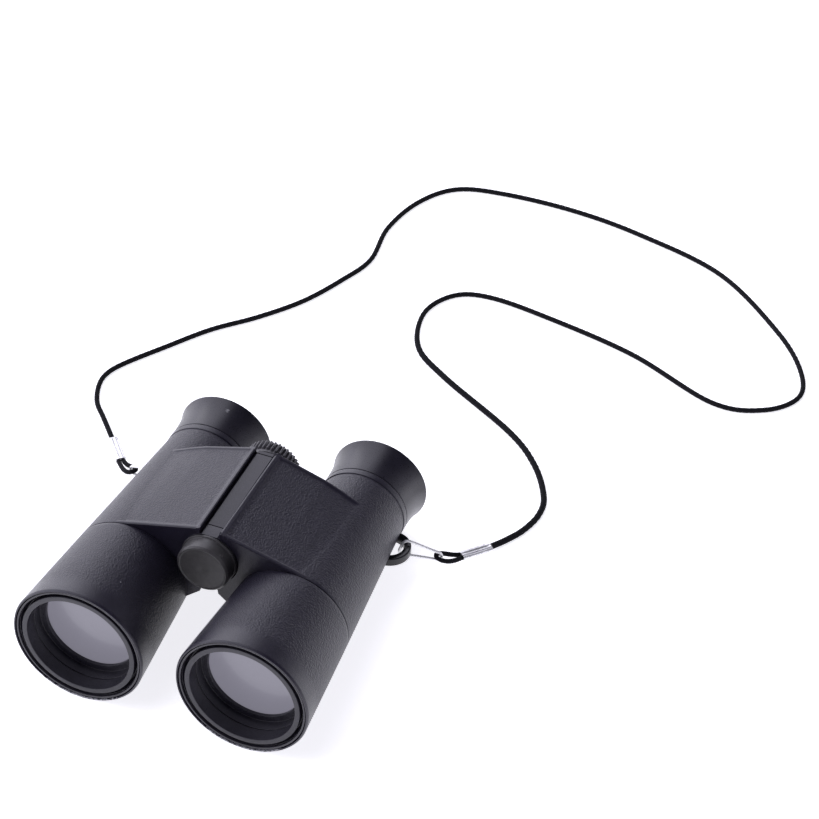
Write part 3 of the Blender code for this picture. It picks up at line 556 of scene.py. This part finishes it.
def turned(name, outline, side, material, steps=128, corner=0.2, centre=None):
    """A solid of revolution about a barrel axis (or the hinge) from a closed (radius, y) outline."""
    if centre is None:
        centre = (SIDES[side] * BARREL_X, 0.0)
    outline = rounded(outline, corner)
    if outline_area(outline) < 0:
        outline = outline[::-1]
    angles = [2 * math.pi * k / steps for k in range(steps)]
    verts = []
    for radius, y in outline:
        for angle in angles:
            point = (centre[0] + radius * math.cos(angle), y, centre[1] + radius * math.sin(angle))
            verts.append(in_row(point))
    faces = turned_over(ring_faces(len(outline), steps, closed=True))
    return new_object(name, verts, faces, material, 40)


# Radius of the pinhole left on the axis of a turned solid
PINHOLE = 0.02


def axis_disc(name, outline, centre, material, steps=96, corner=0.2):
    """A turned solid that reaches its axis: its outline starts and ends at radius 0."""
    outline = [(max(radius, PINHOLE), y) for radius, y in outline]
    return turned(name, outline, "right", material, steps, corner, centre)


def dense(outline, longest):
    """The closed outline with its long edges split."""
    result = []
    for a, b in zip(outline, outline[1:] + outline[:1]):
        a, b = Vector(a), Vector(b)
        count = max(1, math.ceil((b - a).length / longest))
        result += [tuple(a.lerp(b, step / count)) for step in range(count)]
    return result


def finish_piece(obj, body, nodes):
    """Let the piece ride on its body and hide the CAD nodes it stands for."""
    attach(obj, body)
    if nodes:
        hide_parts(*nodes)
    return obj


# ---------------------------------------------------------------- barrels
def objective_tube(side, body):
    """Conical front tube: grained outside, smooth and worn at its rim."""
    outline = [
        (24.15, 0.05), (24.6, 0.0), (FRONT_RADIUS, 0.8), (21.83, SEAM_Y - 0.3), (20.3, SEAM_Y - 0.3),
        (20.3, SEAM_Y - 1.5), (22.6, 4.0), (22.8, 2.4), (24.15, 2.2),
    ]
    obj = turned(f"{side}_objective_shell", dense(outline, 0.8), side, GRAINED, 144, 0.3)

    def grain(point):
        outside = off_axis(point, side) > 21.0
        return ramp_between(point.y, 4.5, 12.0) * (1 - ramp_between(point.y, 41.2, 42.1)) * outside

    def wear(point):
        low = ramp_between(-point.z, 13.0, 22.0)
        return low * (1 - ramp_between(point.y, 1.0, 2.6)) * (off_axis(point, side) > 24.0)

    mark(obj, "grain", grain)
    mark(obj, "wear", wear)
    return finish_piece(obj, body, [f"{side}_objective_tube"])


def bezel(side, body):
    """Front bezel in two pieces: a bright lip and, past a dark groove, a grey ring."""
    lip = [(23.1, 0.4), (23.8, 0.4), (23.85, 1.9), (23.3, 2.2), (23.0, 1.6)]
    piece = turned(f"{side}_bezel_lip", lip, side, LIP_GREY, 144, 0.15)
    finish_piece(piece, body, [])
    ring = [
        (23.0, 1.5), (23.6, 2.3), (22.45, 2.5), (22.4, 6.0), (19.8, 6.0), (19.8, 0.56), (21.7, 0.56),
        (21.7, 3.6), (22.0, 3.6),
    ]
    piece = turned(f"{side}_bezel_ring", ring, side, RING_GREY, 144, 0.22)
    finish_piece(piece, body, [f"{side}_bezel"])


def retainer(side, body):
    """Sleeve behind the bezel that holds the lens."""
    outline = [(19.8, 6.3), (21.9, 6.3), (21.8, 11.8), (17.5, 11.8), (17.5, 10.5), (19.9, 10.5)]
    piece = turned(f"{side}_retainer_sleeve", outline, side, RING_GREY, 144, 0.18)
    finish_piece(piece, body, [f"{side}_lens_retainer"])


def objective_lens(side, body):
    """Front lens: a disc with a slightly domed face."""
    outline = [(0, 11.7)]
    outline += [(r, 11.7 + 0.45 * (r / 17.0) ** 2) for r in (3, 6, 9, 12, 15, 17, 19.4)]
    outline += [(19.4, 14.4), (9.0, 15.0), (0, 15.2)]
    obj = axis_disc(f"{side}_lens_disc", outline, (SIDES[side] * BARREL_X, 0), LENS, 96)
    finish_piece(obj, body, [f"{side}_objective_lens"])


# Small scuff on the left cup: its place round the cup in degrees, along the barrel and from its axis, its
# strength and its size
SCUFF_ANGLE = 80
SCUFF_Y = 118.5
SCUFF_RADIUS = 17.8
SCUFF_STRENGTH = 1.35
SCUFF_SIZE = 1.4

# Bore of an eyecup at its bottom, and how much wider it is at the rim; the sleeve behind it
CUP_BORE = 14.2
CUP_FLARE = 3.9
CUP_FLOOR = 2.0
SLEEVE_BORE = 12.9
SLEEVE_RADIUS = 14.7
SLEEVE_Y = 92.0


def cup_radius(fraction):
    """Outside of the cup: nearly straight at first, then curling out to the rim."""
    return CUP_RADIUS + (RIM_RADIUS - CUP_RADIUS) * fraction ** 3


def eyecup(side, body):
    """Flared cup, open at the back, with its sleeve inside the barrel."""
    count = 14
    outer = []
    inner = []
    for i in range(count + 1):
        fraction = i / count
        y = CUP_Y + (RIM_Y - CUP_Y) * fraction
        outer.append((cup_radius(fraction), y))
        inner.append((CUP_BORE + CUP_FLARE * fraction ** 1.4, max(y, CUP_Y + CUP_FLOOR)))
    outline = outer + inner[:0:-1] + [
        (SLEEVE_BORE, CUP_Y + CUP_FLOOR), (SLEEVE_BORE, SLEEVE_Y), (SLEEVE_RADIUS, SLEEVE_Y),
        (SLEEVE_RADIUS, CUP_Y),
    ]
    obj = turned(f"{side}_eyecup_shell", dense(outline, 0.6), side, SATIN, 180, 0.22)
    if side == "left":
        angle = math.radians(SCUFF_ANGLE)
        across = SCUFF_RADIUS * math.cos(angle)
        spot = Vector((across - BARREL_X, SCUFF_Y, SCUFF_RADIUS * math.sin(angle)))
        mark(obj, "wear", lambda p: SCUFF_STRENGTH * math.exp(-((p - spot).length / SCUFF_SIZE) ** 2))
    finish_piece(obj, body, [f"{side}_eyecup"])


def ocular(side, body):
    """Sliding tube and eye lens behind the eyecup's bore."""
    tube = [
        (11.2, 70.0), (12.6, 70.0), (12.6, 116.0), (11.2, 116.0), (11.2, 112.0), (9.8, 112.0),
        (9.8, 110.6), (11.2, 110.6),
    ]
    piece = turned(f"{side}_ocular_barrel", tube, side, INNER, 96, 0.2)
    finish_piece(piece, body, [f"{side}_ocular_tube"])
    lens = [(0, 111.2), (9.0, 111.9), (9.6, 112.3), (10.9, 112.3), (10.9, 114.0), (8.0, 114.7)]
    lens += [(4.0, 115.25), (0, 115.4)]
    piece = axis_disc(f"{side}_ocular_disc", lens, (SIDES[side] * BARREL_X, 0), LENS, 96)
    finish_piece(piece, body, [f"{side}_ocular_lens"])


# ---------------------------------------------------------------- bodies with their wings
WING_TOP_FRONT = [(3.8, 30.0), (18.0, 26.17), (23.7, 24.63), (32.0, 22.38), (36.9, 21.06), (40.0, 18.0)]
WING_TOP_REAR = [(4.0, 29.4), (18.0, 25.0), (23.7, 23.2), (32.0, 19.5), (37.0, 17.7), (40.0, 15.0)]
WEB_ANGLE = {"right": math.radians(-80), "left": math.radians(-76)}
# Stations where the wing's hinge side steps between fused and clear of the knuckles
STEPS = {"right": TUBE_Y, "left": (FRONT_EAR_Y[1], REAR_EAR_Y[0])}
# Points of a wing inside the barrel, where its underside leaves the barrel, and the line under its web
WING_HEART = (33.0, 5.0)
WING_ROOT_FRONT = Vector((14.0, -8.2))
WING_ROOT_REAR = Vector((20.0, -13.0))
VEE_Z = 3.7
VEE_SLOPE = -0.85
# The skin lies this far under the wing's outline, its border rises this high above the skin, and towards
# the barrel it blends into the cone between two distances from the hinge
SKIN_DROP = 0.30
BORDER_HEIGHT = 0.42
BLEND_X = (30.5, 38.5)
BORDER_FADE_X = (34.0, 38.5)
CONE_RISE = 0.15
# Border width of each wing's hinge side, as a share of the plain width
INNER_BORDER = {"right": 1.6, "left": 1.0}
HIDDEN_GRAIN = 0.25
ARC_STEPS = 24


def polar(radius, angle):
    """The (x, z) point at an angle about the hinge."""
    return (radius * math.cos(angle), HINGE_Z + radius * math.sin(angle))


def border(distance):
    """Height of the raised border, by distance from the wing's edge."""
    ridge = ramp_between(distance, 0.0, 0.35) * (1 - ramp_between(distance, 1.15, 1.75))
    return BORDER_HEIGHT * ridge


def wing_top(side, fraction):
    """Skin points of a wing at a station, given as a share of the way from front to rear."""
    bow = fraction ** 1.3
    corners = [Vector(a).lerp(Vector(b), bow) for a, b in zip(WING_TOP_FRONT, WING_TOP_REAR)]
    y = WING_FRONT_Y + (WING_REAR_Y - WING_FRONT_Y) * fraction
    edge_gap = min(y - WING_FRONT_Y, WING_REAR_Y - y)
    xs = [0.0, 0.12, 0.25, 0.4, 0.6, 0.85, 1.1, 1.3, 1.5, 1.75, 2.1]
    xs = [corners[0].x + x for x in xs] + list(np.linspace(corners[0].x + 2.6, BLEND_X[1], 40))
    corner_x = [corner.x for corner in corners]
    corner_z = [corner.y for corner in corners]
    cone = SEAM_RADIUS + (REAR_RADIUS - SEAM_RADIUS) * (y - SEAM_Y) / (REAR_Y - SEAM_Y)
    points = []
    for x in xs:
        z = float(np.interp(x, corner_x, corner_z))
        barrel = math.sqrt(cone ** 2 - min(abs(x - BARREL_X), cone) ** 2) + CONE_RISE
        z += (barrel - z) * ramp_between(x, *BLEND_X)
        rise = max(border(edge_gap), border((x - corners[0].x) / INNER_BORDER[side]))
        rise *= 1 - ramp_between(x, *BORDER_FADE_X)
        points.append((x, z - SKIN_DROP + rise))
    points.append((corners[-1].x, corners[-1].y))
    return points, y, edge_gap


def wing_mesh(side, body):
    """One wing as a closed loft with a raised border round its top."""
    near_edge = [0.0, 0.12, 0.25, 0.4, 0.7, 1.0, 1.3, 1.5, 1.75, 2.1, 2.6]
    length = WING_REAR_Y - WING_FRONT_Y
    stations = near_edge + list(np.linspace(3.2, length - 3.2, 34)) + [length - e for e in near_edge[::-1]]
    low, high = STEPS[side]
    stations += [low - WING_FRONT_Y - 0.01, low - WING_FRONT_Y + 0.01]
    stations += [high - WING_FRONT_Y - 0.01, high - WING_FRONT_Y + 0.01]
    web = WEB_ANGLE[side]
    verts = []
    grain = []
    for station in sorted(stations):
        fraction = station / length
        top, y, edge_gap = wing_top(side, fraction)
        middle = low < y < high
        clear = middle if side == "left" else not middle
        radius = CLEARANCE_RADIUS if clear else FUSED_RADIUS
        start = math.acos(min(top[0][0] / radius, 1.0))
        arc = [polar(radius, start + (web - start) * i / ARC_STEPS) for i in range(ARC_STEPS + 1)]
        vee = (HINGE_Z - VEE_Z) / (VEE_SLOPE * math.cos(web) - math.sin(web))
        root = WING_ROOT_FRONT.lerp(WING_ROOT_REAR, fraction)
        section = top + [WING_HEART, tuple(root), polar(vee, web)] + arc[::-1]
        for index, (x, z) in enumerate(section):
            verts.append(in_row((SIDES[side] * x, y, z)))
            on_top = index < len(top)
            inset = min(edge_gap, x - top[0][0])
            grain.append(ramp_between(inset, 1.7, 2.6) if on_top else HIDDEN_GRAIN)
    faces = ring_faces(len(stations), len(section), capped=True)
    if side == "right":
        faces = [face[::-1] for face in faces]
    obj = new_object(f"{side}_wing_shell", verts, faces, GRAINED, 32, {"grain": grain})
    return finish_piece(obj, body, [])


def body_barrel(side, body):
    """Rear barrel: a grained cone that ends in a smooth ring."""
    outline = [
        (SEAM_RADIUS - 1.8, SEAM_Y), (SEAM_RADIUS, SEAM_Y), (REAR_RADIUS + 0.02, REAR_Y - 0.1),
        (REAR_RADIUS - 0.12, REAR_Y), (REAR_RADIUS - 0.12, REAR_Y + 0.25), (16.95, REAR_Y + 0.4),
        (16.95, BODY_END_Y), (15.0, BODY_END_Y), (15.0, 100.0),
    ]
    obj = turned(f"{side}_barrel_shell", dense(outline, 0.8), side, GRAINED, 144, 0.18)

    def grain(point):
        return ramp_between(point.y, SEAM_Y + 0.3, SEAM_Y + 1.2) * (1 - ramp_between(point.y, 103.6, 105.0))

    mark(obj, "grain", grain)
    return finish_piece(obj, body, [f"{side}_body"])


def knuckle(name, span, body, steps=180):
    """A hinge knuckle: a cylinder with a narrow flat along its top."""
    low, high = span
    corners = [(HINGE_BORE, low), (KNUCKLE_RADIUS, low), (KNUCKLE_RADIUS, high), (HINGE_BORE, high)]
    outline = rounded(corners, 0.15)
    verts = []
    for radius, y in outline:
        for k in range(steps):
            angle = 2 * math.pi * k / steps
            flat = KNUCKLE_FLAT / max(math.cos(angle), 0.1)
            shape = min(flat, KNUCKLE_SHOULDER) / KNUCKLE_RADIUS if abs(flat) < KNUCKLE_SHOULDER else 1.0
            reach = radius * shape
            verts.append(in_row((reach * math.sin(angle), y, HINGE_Z + reach * math.cos(angle))))
    faces = turned_over(ring_faces(len(outline), steps, closed=True))
    obj = new_object(name, verts, faces, SATIN, 30)
    return finish_piece(obj, body, [])


# ---------------------------------------------------------------- centre
# Gate mark left by moulding, on the side of the cap: its angle in degrees, its place along the hinge, and
# its profile as (radius, height)
GATE_ANGLE = 47
GATE_Y = 38.0
GATE_PROFILE = [(0.75, -0.1), (0.62, 0.12), (0.45, 0.12), (0.3, -0.02), (0.001, -0.05)]


def hinge_cap(body):
    """Front cap of the hinge: a shallow dish with a rolled edge, a flange behind and a gate mark."""
    outline = [
        (0, 36.3), (4.0, 36.3), (8.5, 36.28), (8.9, 36.1), (9.2, 36.1), (CAP_RADIUS, 36.8),
        (CAP_RADIUS, 41.45), (10.5, 41.65), (10.5, 42.35), (HINGE_BORE, 42.35), (0, 42.3),
    ]
    obj = axis_disc("cap_shell", outline, (0.0, HINGE_Z), CAP_GREY, 128, 0.12)
    finish_piece(obj, body, ["hinge_cap"])
    angle = math.radians(GATE_ANGLE)
    centre = Vector((CAP_RADIUS * math.cos(angle), GATE_Y, HINGE_Z + CAP_RADIUS * math.sin(angle)))
    outward = Vector((math.cos(angle), 0, math.sin(angle)))
    side_axis = outward.cross(Vector((0, 1, 0)))
    steps = 24
    verts = []
    for radius, height in GATE_PROFILE:
        for k in range(steps):
            a = 2 * math.pi * k / steps
            offset = side_axis * (radius * math.cos(a)) + Vector((0, 1, 0)) * (radius * math.sin(a))
            verts.append(in_row(centre + offset + outward * height))
    gate = new_object("cap_gate_mark", verts, ring_faces(len(GATE_PROFILE), steps), CAP_GREY)
    finish_piece(gate, body, [])


def focus_wheel(body):
    """Ribbed grip: rounded ribs parallel to the axis between two plain bands."""
    steps = WHEEL_RIBS * 8
    # Outline as (radius, y, share of the ribs' height)
    rows = [(HINGE_BORE, 92.0, 0), (9.7, 92.0, 0), (9.95, 92.2, 0), (9.95, 93.1, 0), (10.15, 93.3, 0.3)]
    rows += [(10.4, 93.6, 1.0), (10.4, 97.5, 1.0), (10.1, 97.85, 0.5), (9.6, 98.0, 0), (7.6, 98.0, 0)]
    rows += [(7.3, 97.5, 0), (HINGE_BORE, 97.5, 0)]
    verts = []
    for radius, y, share in rows:
        for k in range(steps):
            angle = 2 * math.pi * k / steps
            wave = math.cos(WHEEL_RIBS * angle)
            height = WHEEL_RIB_HEIGHT if wave > 0 else -WHEEL_GROOVE_DEPTH
            reach = radius + share * height * abs(wave) ** 0.6
            verts.append(in_row((reach * math.cos(angle), y, HINGE_Z + reach * math.sin(angle))))
    obj = new_object("wheel_grip", verts, ring_faces(len(rows), steps, closed=True), WHEEL_GREY, 40)
    finish_piece(obj, body, ["focus_wheel"])


# ---------------------------------------------------------------- strap hardware
LUG_CENTRE = Vector((45.6, 98.4, -8.0))
LUG_INNER = 5.2
LUG_OUTER = 7.9
LUG_HALF_HEIGHT = 1.7
LUG_SWEEP = math.radians(116)
WIRE_RADIUS = 0.55
CLIP_BASE_RADIUS = 4.1
CLIP_BASE_RISE = 0.5
EYE_CLEARANCE = 0.45
FERRULE_HALF_WIDTH = 2.15
FERRULE_HALF_HEIGHT = 1.22
CLIP_TIP = {"right": Vector((62.6, 106.9, -13.2)), "left": Vector((-62.7, 105.3, -13.4))}
FERRULE_IN = {"right": Vector((68.1, 113.3, -16.1)), "left": Vector((-70.2, 111.5, -16.2))}
FERRULE_OUT = {"right": Vector((75.75, 123.1, -17.1)), "left": Vector((-79.0, 122.2, -17.15))}
# Upper and lower half of the wire clip, and half of each cord eye: (share of the length, half opening)
CLIP_UPPER = [
    (0.0, 1.6), (0.03, 2.9), (0.10, 3.5), (0.21, 3.4), (0.50, 2.7), (0.78, 2.0), (0.92, 1.65), (0.98, 0.9),
]
CLIP_LOWER = [
    (0.0, 1.3), (0.015, 2.3), (0.06, 3.0), (0.12, 3.1), (0.50, 2.3), (0.78, 1.8), (0.92, 1.65), (0.98, 0.9),
]
EYE_HALF = {
    "right": [(0.0, 0.7), (0.07, 1.5), (0.2, 2.0), (0.4, 2.1), (0.65, 1.6), (0.88, 1.0), (1.0, 0.92)],
    "left": [(0.0, 0.7), (0.07, 1.5), (0.2, 1.9), (0.4, 1.6), (0.65, 1.15), (0.88, 0.94), (1.0, 0.92)],
}


def strap_lug(side, body):
    """Flat C-shaped loop: a ring section swept round the outer side of the barrel."""
    centre = Vector((SIDES[side] * LUG_CENTRE.x, LUG_CENTRE.y, LUG_CENTRE.z))
    low, high = -LUG_HALF_HEIGHT, LUG_HALF_HEIGHT
    corners = [(LUG_INNER, low), (LUG_OUTER, low), (LUG_OUTER, high), (LUG_INNER, high)]
    section = rounded(corners, 0.55, 4)
    count = 64
    verts = []
    for i in range(count + 1):
        angle = -LUG_SWEEP + 2 * LUG_SWEEP * i / count
        flare = 1 + 0.05 * ramp_between(abs(angle), math.radians(70), LUG_SWEEP)
        for radius, z in section:
            x = SIDES[side] * radius * flare * math.cos(angle)
            verts.append(in_row(centre + Vector((x, radius * flare * math.sin(angle), z))))
    faces = ring_faces(count + 1, len(section), capped=True)
    if side == "right":
        faces = [face[::-1] for face in faces]
    obj = new_object(f"{side}_lug_loop", verts, faces, GLOSS, 40)
    finish_piece(obj, body, [f"{side}_strap_lug"])


def clip_basis(side):
    """The clip's base point and length, with unit vectors along it and up its plane."""
    centre = Vector((SIDES[side] * LUG_CENTRE.x, LUG_CENTRE.y, LUG_CENTRE.z))
    reach = CLIP_TIP[side] - centre
    outward = Vector((reach.x, reach.y, 0)).normalized()
    base = centre + outward * CLIP_BASE_RADIUS + Vector((0, 0, CLIP_BASE_RISE))
    along = (CLIP_TIP[side] - base).normalized()
    sideways = Vector((0, 0, 1)).cross(along).normalized()
    return base, (CLIP_TIP[side] - base).length, along, along.cross(sideways)


def wire_clip(side, body):
    """Closed loop of wire: wide at the lug, narrowing to a tip that holds the cord's eye."""
    base, length, along, up = clip_basis(side)
    upper = [base + along * (length * a) + up * b for a, b in CLIP_UPPER]
    lower = [base + along * (length * a) - up * b for a, b in reversed(CLIP_LOWER)]
    outline = [in_row(p) for p in [base] + upper + [base + along * length] + lower]
    path = catmull_rom(outline, WIRE_SPACING, True)
    obj = tube_mesh(f"{side}_clip_wire", path, WIRE_RADIUS * MM, METAL, 16, True)
    finish_piece(obj, body, [f"{side}_wire_clip"])


def ferrule_basis(side):
    """Unit vectors across the ferrule, out of its flat and along it."""
    run = (FERRULE_OUT[side] - FERRULE_IN[side]).normalized()
    across = run.cross(Vector((0, 0, 1))).normalized()
    return across, across.cross(run), run


def cord_eye(side, body):
    """End loop of the cord: round the clip's tip and back into the ferrule."""
    base, clip_length, along, up = clip_basis(side)
    near = base + along * (clip_length - WIRE_RADIUS - EYE_CORD_RADIUS - EYE_CLEARANCE)
    ferrule_across, _, ferrule_run = ferrule_basis(side)
    mouth = FERRULE_IN[side] + ferrule_run * 0.6
    clip_across = along.cross(up).normalized()
    if clip_across.dot(ferrule_across) < 0:
        clip_across = -clip_across
    handle = (mouth - near).length / 3
    bend = (near, near + along * handle, mouth - ferrule_run * handle, mouth)

    def strand(sign):
        points = []
        for share, opening in EYE_HALF[side]:
            rest = 1 - share
            weights = (rest ** 3, 3 * share * rest ** 2, 3 * share ** 2 * rest, share ** 3)
            middle = sum((point * weight for point, weight in zip(bend, weights)), Vector((0, 0, 0)))
            across = clip_across.lerp(ferrule_across, share).normalized()
            points.append(in_row(middle + across * (sign * opening)))
        return points

    path = catmull_rom(strand(1)[::-1] + strand(-1), WIRE_SPACING)
    obj = tube_mesh(f"{side}_eye_loop", path, EYE_CORD_RADIUS * MM, FIBRE, 16, relief=braid)
    finish_piece(obj, body, [f"{side}_cord_eye"])


def ferrule(side, body):
    """Crimped sleeve: a flattened tube with a lengthwise crease on each flat and flared mouths."""
    across, lift, run = ferrule_basis(side)
    start = FERRULE_IN[side]
    length = (FERRULE_OUT[side] - start).length
    steps = 72
    stations = [(-0.05, 0.80), (0.0, 0.97), (0.15, 1.02), (0.5, 1.0)]
    stations += [(0.5 + (length - 1.0) * i / 30, 1.0) for i in range(1, 30)]
    stations += [(length - 0.5, 1.0), (length - 0.15, 1.02), (length, 0.97), (length + 0.05, 0.80)]
    verts = []
    for distance, scale in stations:
        for k in range(steps):
            angle = 2 * math.pi * k / steps
            wide = FERRULE_HALF_WIDTH * math.copysign(abs(math.cos(angle)) ** 0.85, math.cos(angle))
            tall = FERRULE_HALF_HEIGHT * math.copysign(abs(math.sin(angle)) ** 0.75, math.sin(angle))
            pinch = math.sin(math.pi * min(max(distance / length, 0), 1)) ** 0.4
            crease = 0.5 * math.exp(-(wide / 0.34) ** 2) * pinch
            crease += 0.22 * math.exp(-((abs(wide) - 1.25) / 0.22) ** 2) * pinch
            dent = 0.05 * noise.noise(Vector((distance * 0.6, angle * 1.5, SIDES[side] * 4.0)))
            tall -= math.copysign(crease, tall)
            wave = scale * (1 + dent)
            offset = across * (wide * wave) + lift * (tall * wave)
            verts.append(in_row(start + run * distance + offset))
    faces = ring_faces(len(stations), steps, capped=True)
    obj = new_object(f"{side}_ferrule_sleeve", verts, faces, METAL, 50)
    finish_piece(obj, body, [f"{side}_ferrule"])


# ---------------------------------------------------------------- assembly
for side_name in SIDES:
    half = f"{side_name}_half"
    clip = f"{side_name}_clip"
    objective_tube(side_name, half)
    bezel(side_name, half)
    retainer(side_name, half)
    objective_lens(side_name, half)
    body_barrel(side_name, half)
    wing_mesh(side_name, half)
    eyecup(side_name, half)
    ocular(side_name, f"{side_name}_ocular_carriage")
    strap_lug(side_name, half)
    wire_clip(side_name, clip)
    cord_eye(side_name, clip)
    ferrule(side_name, clip)

knuckle("hinge_tube", TUBE_Y, "right_half")
knuckle("hinge_front_ear", FRONT_EAR_Y, "left_half")
knuckle("hinge_rear_ear", REAR_EAR_Y, "left_half")
hinge_cap("left_half")
focus_wheel("focus_wheel_set")

for node, material in (
    ("focus_spindle", STEEL), ("spindle_washer", STEEL), ("focus_nut", INNER), ("left_focus_arm", INNER),
):
    mesh = frame["nodes"][node].data
    mesh.materials.clear()
    mesh.materials.append(material)


# ---------------------------------------------------------------- floor and light
FLOOR_REACH = 6.0
# Light by the height of its direction: pale at the horizon, dark above
HORIZON = [(0.0, (0.62, 0.61, 0.72)), (0.30, (0.50, 0.49, 0.58)), (0.55, (0.06, 0.06, 0.07))]
# One broad soft panel on the left: its direction, and its light by closeness to that direction
PANEL_DIRECTION = (-0.85, 0.20, 0.48)
PANEL = [
    (0.44, (0.0, 0.0, 0.0)), (0.68, (1.92, 1.90, 2.18)), (0.80, (1.82, 1.80, 2.06)),
    (1.0, (1.92, 1.90, 2.18)),
]
SOFTBOX_PLACE = (-1.3, 1.45, 0.75)
SOFTBOX_SIZE = (0.9, 0.5)
SOFTBOX_POWER = 1.5
SOFTBOX_TARGET = (0, 0, 0.02)


def white_floor():
    """A pale plain surface, large enough to fill the view."""
    material, tree, shader = new_material("floor_paper")
    paper = place_noise(tree, 40.0, 2.0)
    tone = ramp(tree, paper.outputs["Fac"], [(0.3, (0.93, 0.93, 0.93)), (0.7, (0.95, 0.95, 0.95))])
    tree.links.new(tone.outputs["Color"], shader.inputs["Base Color"])
    shader.inputs["Roughness"].default_value = 0.9
    shader.inputs["Emission Color"].default_value = (1.0, 0.995, 1.04, 1.0)
    shader.inputs["Emission Strength"].default_value = 0.80
    reach = FLOOR_REACH
    verts = [(-reach, -reach, 0), (reach, -reach, 0), (reach, reach, 0), (-reach, reach, 0)]
    new_object("floor", verts, [(0, 1, 2, 3)], material)


def add_area(name, location, size, power, target):
    """A rectangular area light that faces its target."""
    data = bpy.data.lights.new(name, "AREA")
    data.shape = "RECTANGLE"
    data.size, data.size_y = size
    data.energy = power
    lamp = bpy.data.objects.new(name, data)
    bpy.context.scene.collection.objects.link(lamp)
    lamp.location = location
    aim = Vector(location) - Vector(target)
    lamp.rotation_euler = aim.to_track_quat("Z", "Y").to_euler()


def studio_light():
    """Soft surroundings with one broad panel, and a softbox behind on the left."""
    world = bpy.data.worlds.new("studio")
    bpy.context.scene.world = world
    world.use_nodes = True
    tree = world.node_tree
    background = tree.nodes["Background"]
    direction = add_node(tree, "ShaderNodeTexCoord")
    parts = add_node(tree, "ShaderNodeSeparateXYZ")
    tree.links.new(direction.outputs["Generated"], parts.inputs["Vector"])
    low = ramp(tree, parts.outputs["Z"], HORIZON)
    toward = add_node(tree, "ShaderNodeVectorMath", operation="DOT_PRODUCT")
    toward.inputs[1].default_value = PANEL_DIRECTION
    tree.links.new(direction.outputs["Generated"], toward.inputs[0])
    panel = ramp(tree, toward.outputs["Value"], PANEL)
    both = add_node(tree, "ShaderNodeMixRGB", blend_type="LIGHTEN")
    both.inputs["Fac"].default_value = 1.0
    tree.links.new(low.outputs["Color"], both.inputs["Color1"])
    tree.links.new(panel.outputs["Color"], both.inputs["Color2"])
    tree.links.new(both.outputs["Color"], background.inputs["Color"])
    background.inputs["Strength"].default_value = 1.0
    add_area("back_left_softbox", SOFTBOX_PLACE, SOFTBOX_SIZE, SOFTBOX_POWER, SOFTBOX_TARGET)


white_floor()
studio_light()
bpy.context.scene.view_settings.view_transform = "Standard"
